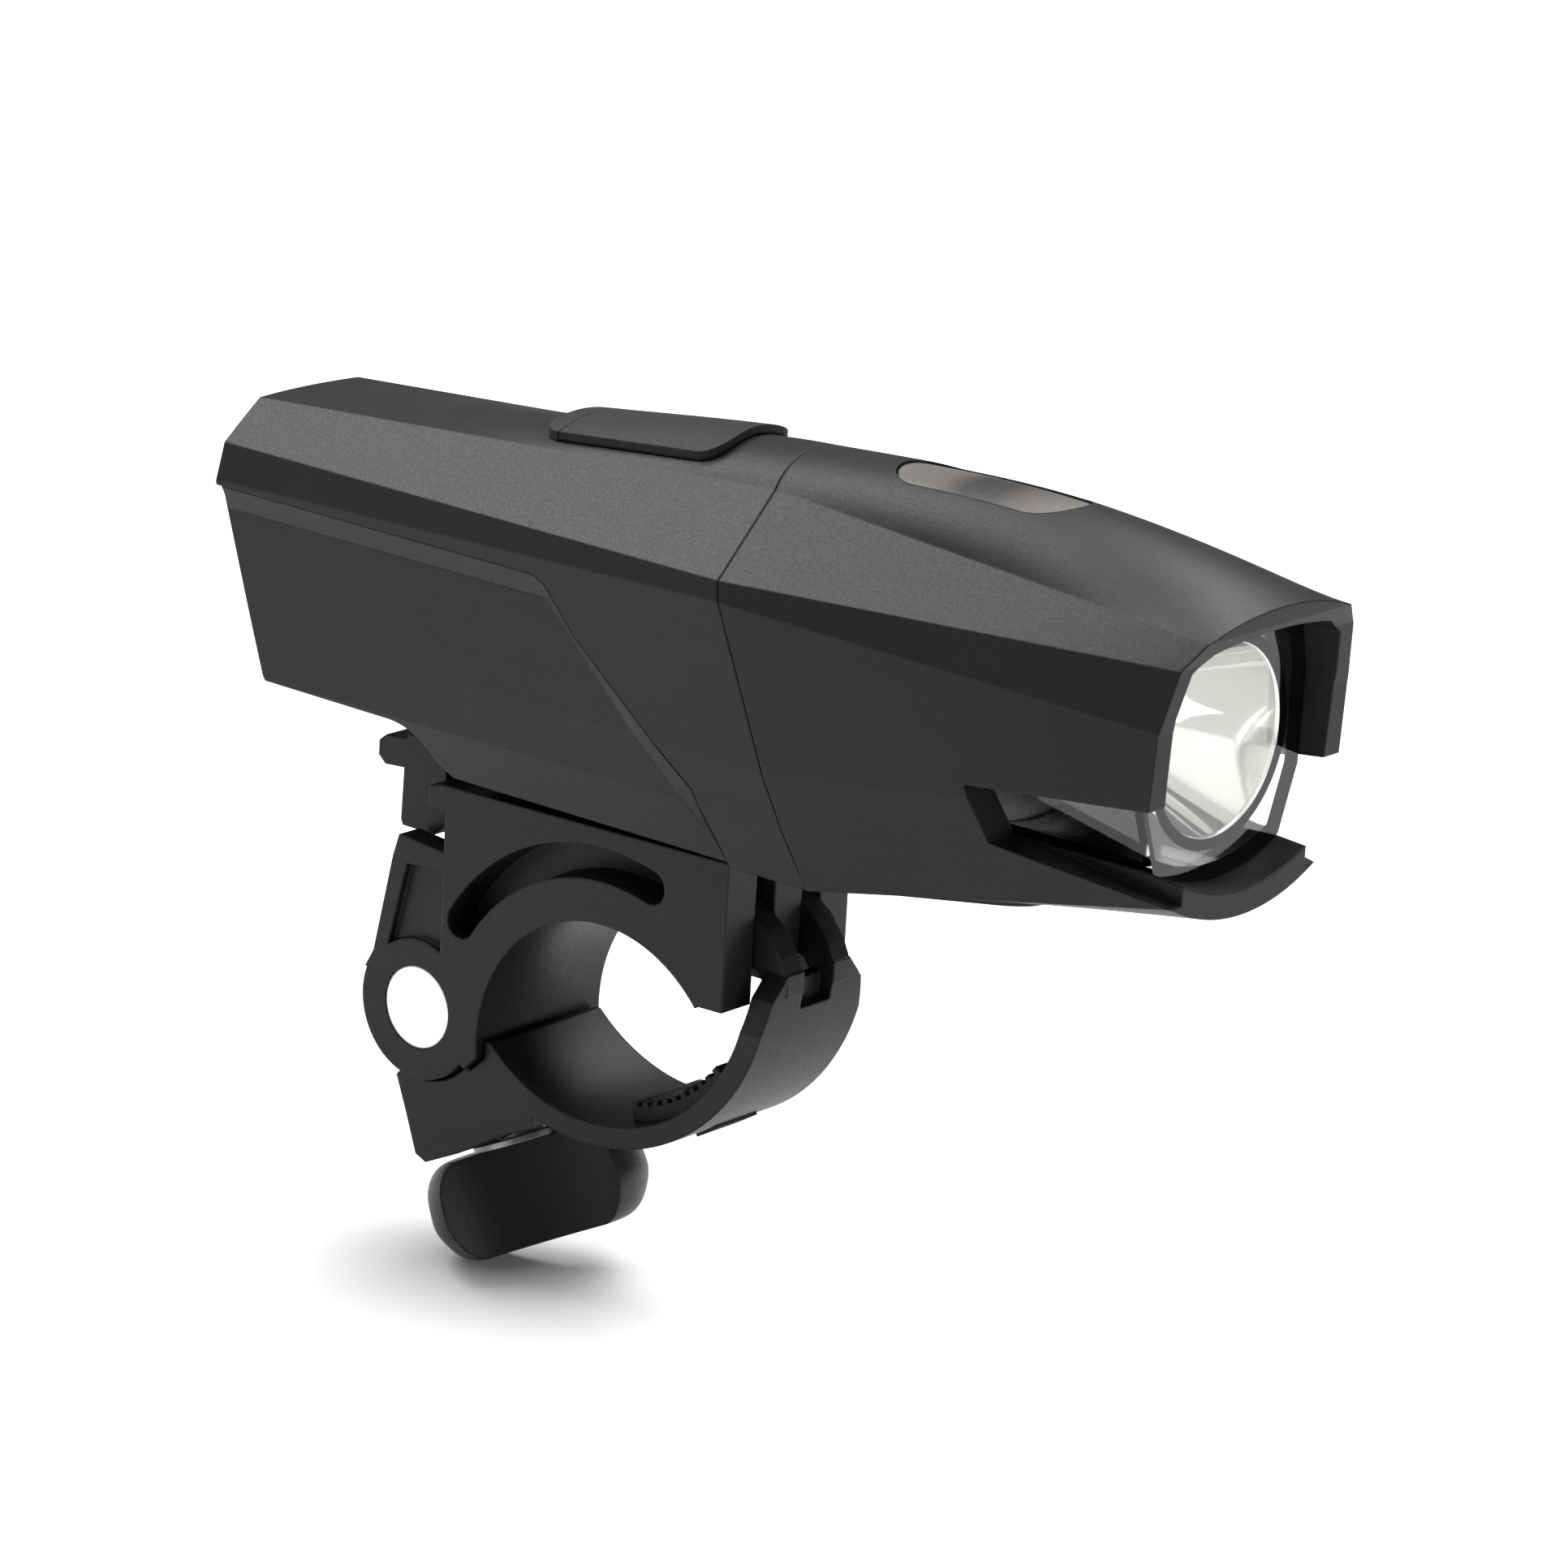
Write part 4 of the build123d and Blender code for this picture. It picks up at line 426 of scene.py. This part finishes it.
def panel_bevels():
    """Sloped edge of each recessed side panel: a wedge from the panel's edge to a line inside it.

    Each point's y is where a ray along Y meets the shell: just outside the edge for the rim, on
    the inner line for the foot, and just inside the edge for the hidden corner under the rim.
    """
    shares = np.linspace(0, 1, PANEL_STEPS)
    edge, inner = (
        np.stack([np.interp(shares, PANEL_SHARES, axis) for axis in zip(*line)], axis=1)
        for line in (PANEL_EDGE, PANEL_INNER)
    )
    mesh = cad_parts["rear_housing"].data
    polygons = [tuple(polygon.vertices) for polygon in mesh.polygons]
    shell = BVHTree.FromPolygons([vertex.co for vertex in mesh.vertices], polygons)
    for side, name in ((-1, "panel_bevel_near"), (1, "panel_bevel_far")):
        points = []
        for rim, foot in zip(edge, inner):
            away = (rim - foot) / np.linalg.norm(rim - foot)
            depths = []
            for x, z in (rim + EDGE_APART * away, foot, rim - EDGE_APART * away):
                start = Vector((x * MM, side * RAY_START * MM, z * MM))
                hit = shell.ray_cast(start, Vector((0, -side, 0)))[0]
                depths.append(hit.y if hit else side * MISS_DEPTH * MM)
            points.append((rim[0] * MM, depths[0], rim[1] * MM))
            points.append((foot[0] * MM, depths[1] - side * INNER_SINK * MM, foot[1] * MM))
            points.append((rim[0] * MM, depths[2] - side * EDGE_SINK * MM, rim[1] * MM))
        last = len(points)
        faces = ring_faces(PANEL_STEPS, 3, False) + [(0, 2, 1), (last - 3, last - 2, last - 1)]
        points = np.array(points)
        new_piece(name, points, faces, abs_charcoal, "light", smooth=False)


mirror_bowl()
catch_spring()
panel_bevels()


# Camera, fitted to the photograph

AZIMUTH = math.radians(39.25)
ELEVATION = math.radians(16.83)
ROLL = math.radians(3.18)
CAMERA_PLACE = (0.3904, -0.4607, 0.2118)
SENSOR_WIDTH = 36.0
FOCAL_LENGTH = 149.07
CLIP_START = 0.01

across = np.array([math.cos(AZIMUTH), math.sin(AZIMUTH), 0.0])
back = np.array(
    [
        math.cos(ELEVATION) * math.sin(AZIMUTH),
        -math.cos(ELEVATION) * math.cos(AZIMUTH),
        math.sin(ELEVATION),
    ]
)
upward = np.cross(back, across)
camera_right = math.cos(ROLL) * across + math.sin(ROLL) * upward
camera_up = -math.sin(ROLL) * across + math.cos(ROLL) * upward
camera_data = bpy.data.cameras.new("camera")
camera_data.sensor_width = SENSOR_WIDTH
camera_data.lens = FOCAL_LENGTH
camera_data.clip_start = CLIP_START
camera = bpy.data.objects.new("camera", camera_data)
bpy.context.scene.collection.objects.link(camera)
turn = Matrix((camera_right, camera_up, back)).transposed().to_4x4()
camera.matrix_world = Matrix.Translation(CAMERA_PLACE) @ turn
bpy.context.scene.camera = camera


# Soft boxes: name, place, width and height in metres, power in watts

LAMPS = [
    ("top_box", (0.05, 0.35, 0.75), 0.7, 0.5, 8.0),
    ("chamfer_box", (-0.6, -0.05, 0.78), 0.6, 0.6, 7.0),
    ("front_box", (0.75, 0.1, 0.25), 0.4, 0.4, 1.2),
    ("left_fill", (-0.45, -0.55, 0.3), 0.5, 0.5, 0.4),
]
LAMP_TARGET = (0.005, 0.0, 0.03)


def area_lamp(name, place, width, height, power):
    """Rectangular soft box that looks at the middle of the part."""
    data = bpy.data.lights.new(name, "AREA")
    data.shape = "RECTANGLE"
    data.size = width
    data.size_y = height
    data.energy = power
    lamp = bpy.data.objects.new(name, data)
    bpy.context.scene.collection.objects.link(lamp)
    away = np.array(place) - np.array(LAMP_TARGET)
    away = away / np.linalg.norm(away)
    side = np.cross((0.0, 0.0, 1.0), away)
    side = side / np.linalg.norm(side)
    turned = Matrix((side, np.cross(away, side), away)).transposed().to_4x4()
    lamp.matrix_world = Matrix.Translation(place) @ turned


for lamp in LAMPS:
    area_lamp(*lamp)


# Floor and world: white to the camera, dimmer to the part, so that its dark sides stay dark

FLOOR_HALF = 3.0
FLOOR_Z = cad_box[0][2]
GLOSSY_SHARE = 0.4
# The glow's low end, near the knob's foot, paints a shadow patch on the floor
GLOW_WITH_PAINTED_SHADOW = {"From Min": 0.005, "From Max": 0.032, "To Min": 0.03, "To Max": 0.9}
AMBIENT = 0.12
WHITE = (1, 1, 1, 1)


def floor_material():
    """Matt paper that glows to white away from the knob's foot. The glow fades out near the foot,
    which paints a shadow patch over the real shadow there.

    Camera and lens rays see the whole glow, mirror rays a share of it, and diffuse rays only the
    paper, which is a light grey to keep its bounce low.
    """
    material = bpy.data.materials.new("paper_white_matt")
    material.use_nodes = True
    tree = material.node_tree
    tree.nodes.clear()
    paper = add_node(tree, "BsdfDiffuse", {"Color": hex_colour("#cccccc")})
    rays = add_node(tree, "LightPath")
    settings = {"operation": "MULTIPLY", 1: GLOSSY_SHARE}
    seen = add_node(tree, "Math", settings, {0: rays.outputs["Is Glossy Ray"]})
    for other in ("Is Camera Ray", "Is Transmission Ray"):
        links = {0: seen.outputs["Value"], 1: rays.outputs[other]}
        seen = add_node(tree, "Math", {"operation": "MAXIMUM"}, links)
    place = add_node(tree, "TexCoord").outputs["Object"]
    knob = np.array([vertex.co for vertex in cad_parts["knob"].data.vertices])
    settings = {"operation": "DISTANCE", 1: tuple(knob[knob[:, 2].argmin()])}
    from_foot = add_node(tree, "VectorMath", settings, {0: place})
    # The glow fades near the knob's resting foot: a painted shadow patch, fixed to the floor
    glow = add_node(tree, "MapRange", GLOW_WITH_PAINTED_SHADOW, {"Value": from_foot.outputs["Value"]})
    links = {0: seen.outputs["Value"], 1: glow.outputs["Result"]}
    strength = add_node(tree, "Math", {"operation": "MULTIPLY"}, links)
    links = {"Strength": strength.outputs["Value"]}
    light = add_node(tree, "Emission", {"Color": WHITE}, links)
    links = {0: paper.outputs["BSDF"], 1: light.outputs["Emission"]}
    both = add_node(tree, "AddShader", links=links)
    add_node(tree, "OutputMaterial", links={"Surface": both.outputs["Shader"]})
    return material


floor_mesh = bpy.data.meshes.new("floor")
signs = [(-1, -1), (1, -1), (1, 1), (-1, 1)]
corners = [(x * FLOOR_HALF, y * FLOOR_HALF, FLOOR_Z) for x, y in signs]
floor_mesh.from_pydata(corners, [], [(0, 1, 2, 3)])
floor = bpy.data.objects.new("floor", floor_mesh)
bpy.context.scene.collection.objects.link(floor)
floor.data.materials.append(floor_material())

world = bpy.data.worlds.new("studio")
world.use_nodes = True
bpy.context.scene.world = world
sky = world.node_tree
sky.nodes.clear()
rays = add_node(sky, "LightPath")
links = {0: rays.outputs["Is Camera Ray"], 1: rays.outputs["Is Transmission Ray"]}
seen = add_node(sky, "Math", {"operation": "MAXIMUM"}, links)
ambient = add_node(sky, "Background", {"Color": WHITE, "Strength": AMBIENT})
white = add_node(sky, "Background", {"Color": WHITE, "Strength": 1.0})
links = {0: seen.outputs["Value"], 1: ambient.outputs["Background"], 2: white.outputs["Background"]}
mixed = add_node(sky, "MixShader", links=links)
add_node(sky, "OutputWorld", links={"Surface": mixed.outputs["Shader"]})

bpy.context.scene.view_settings.view_transform = "Standard"
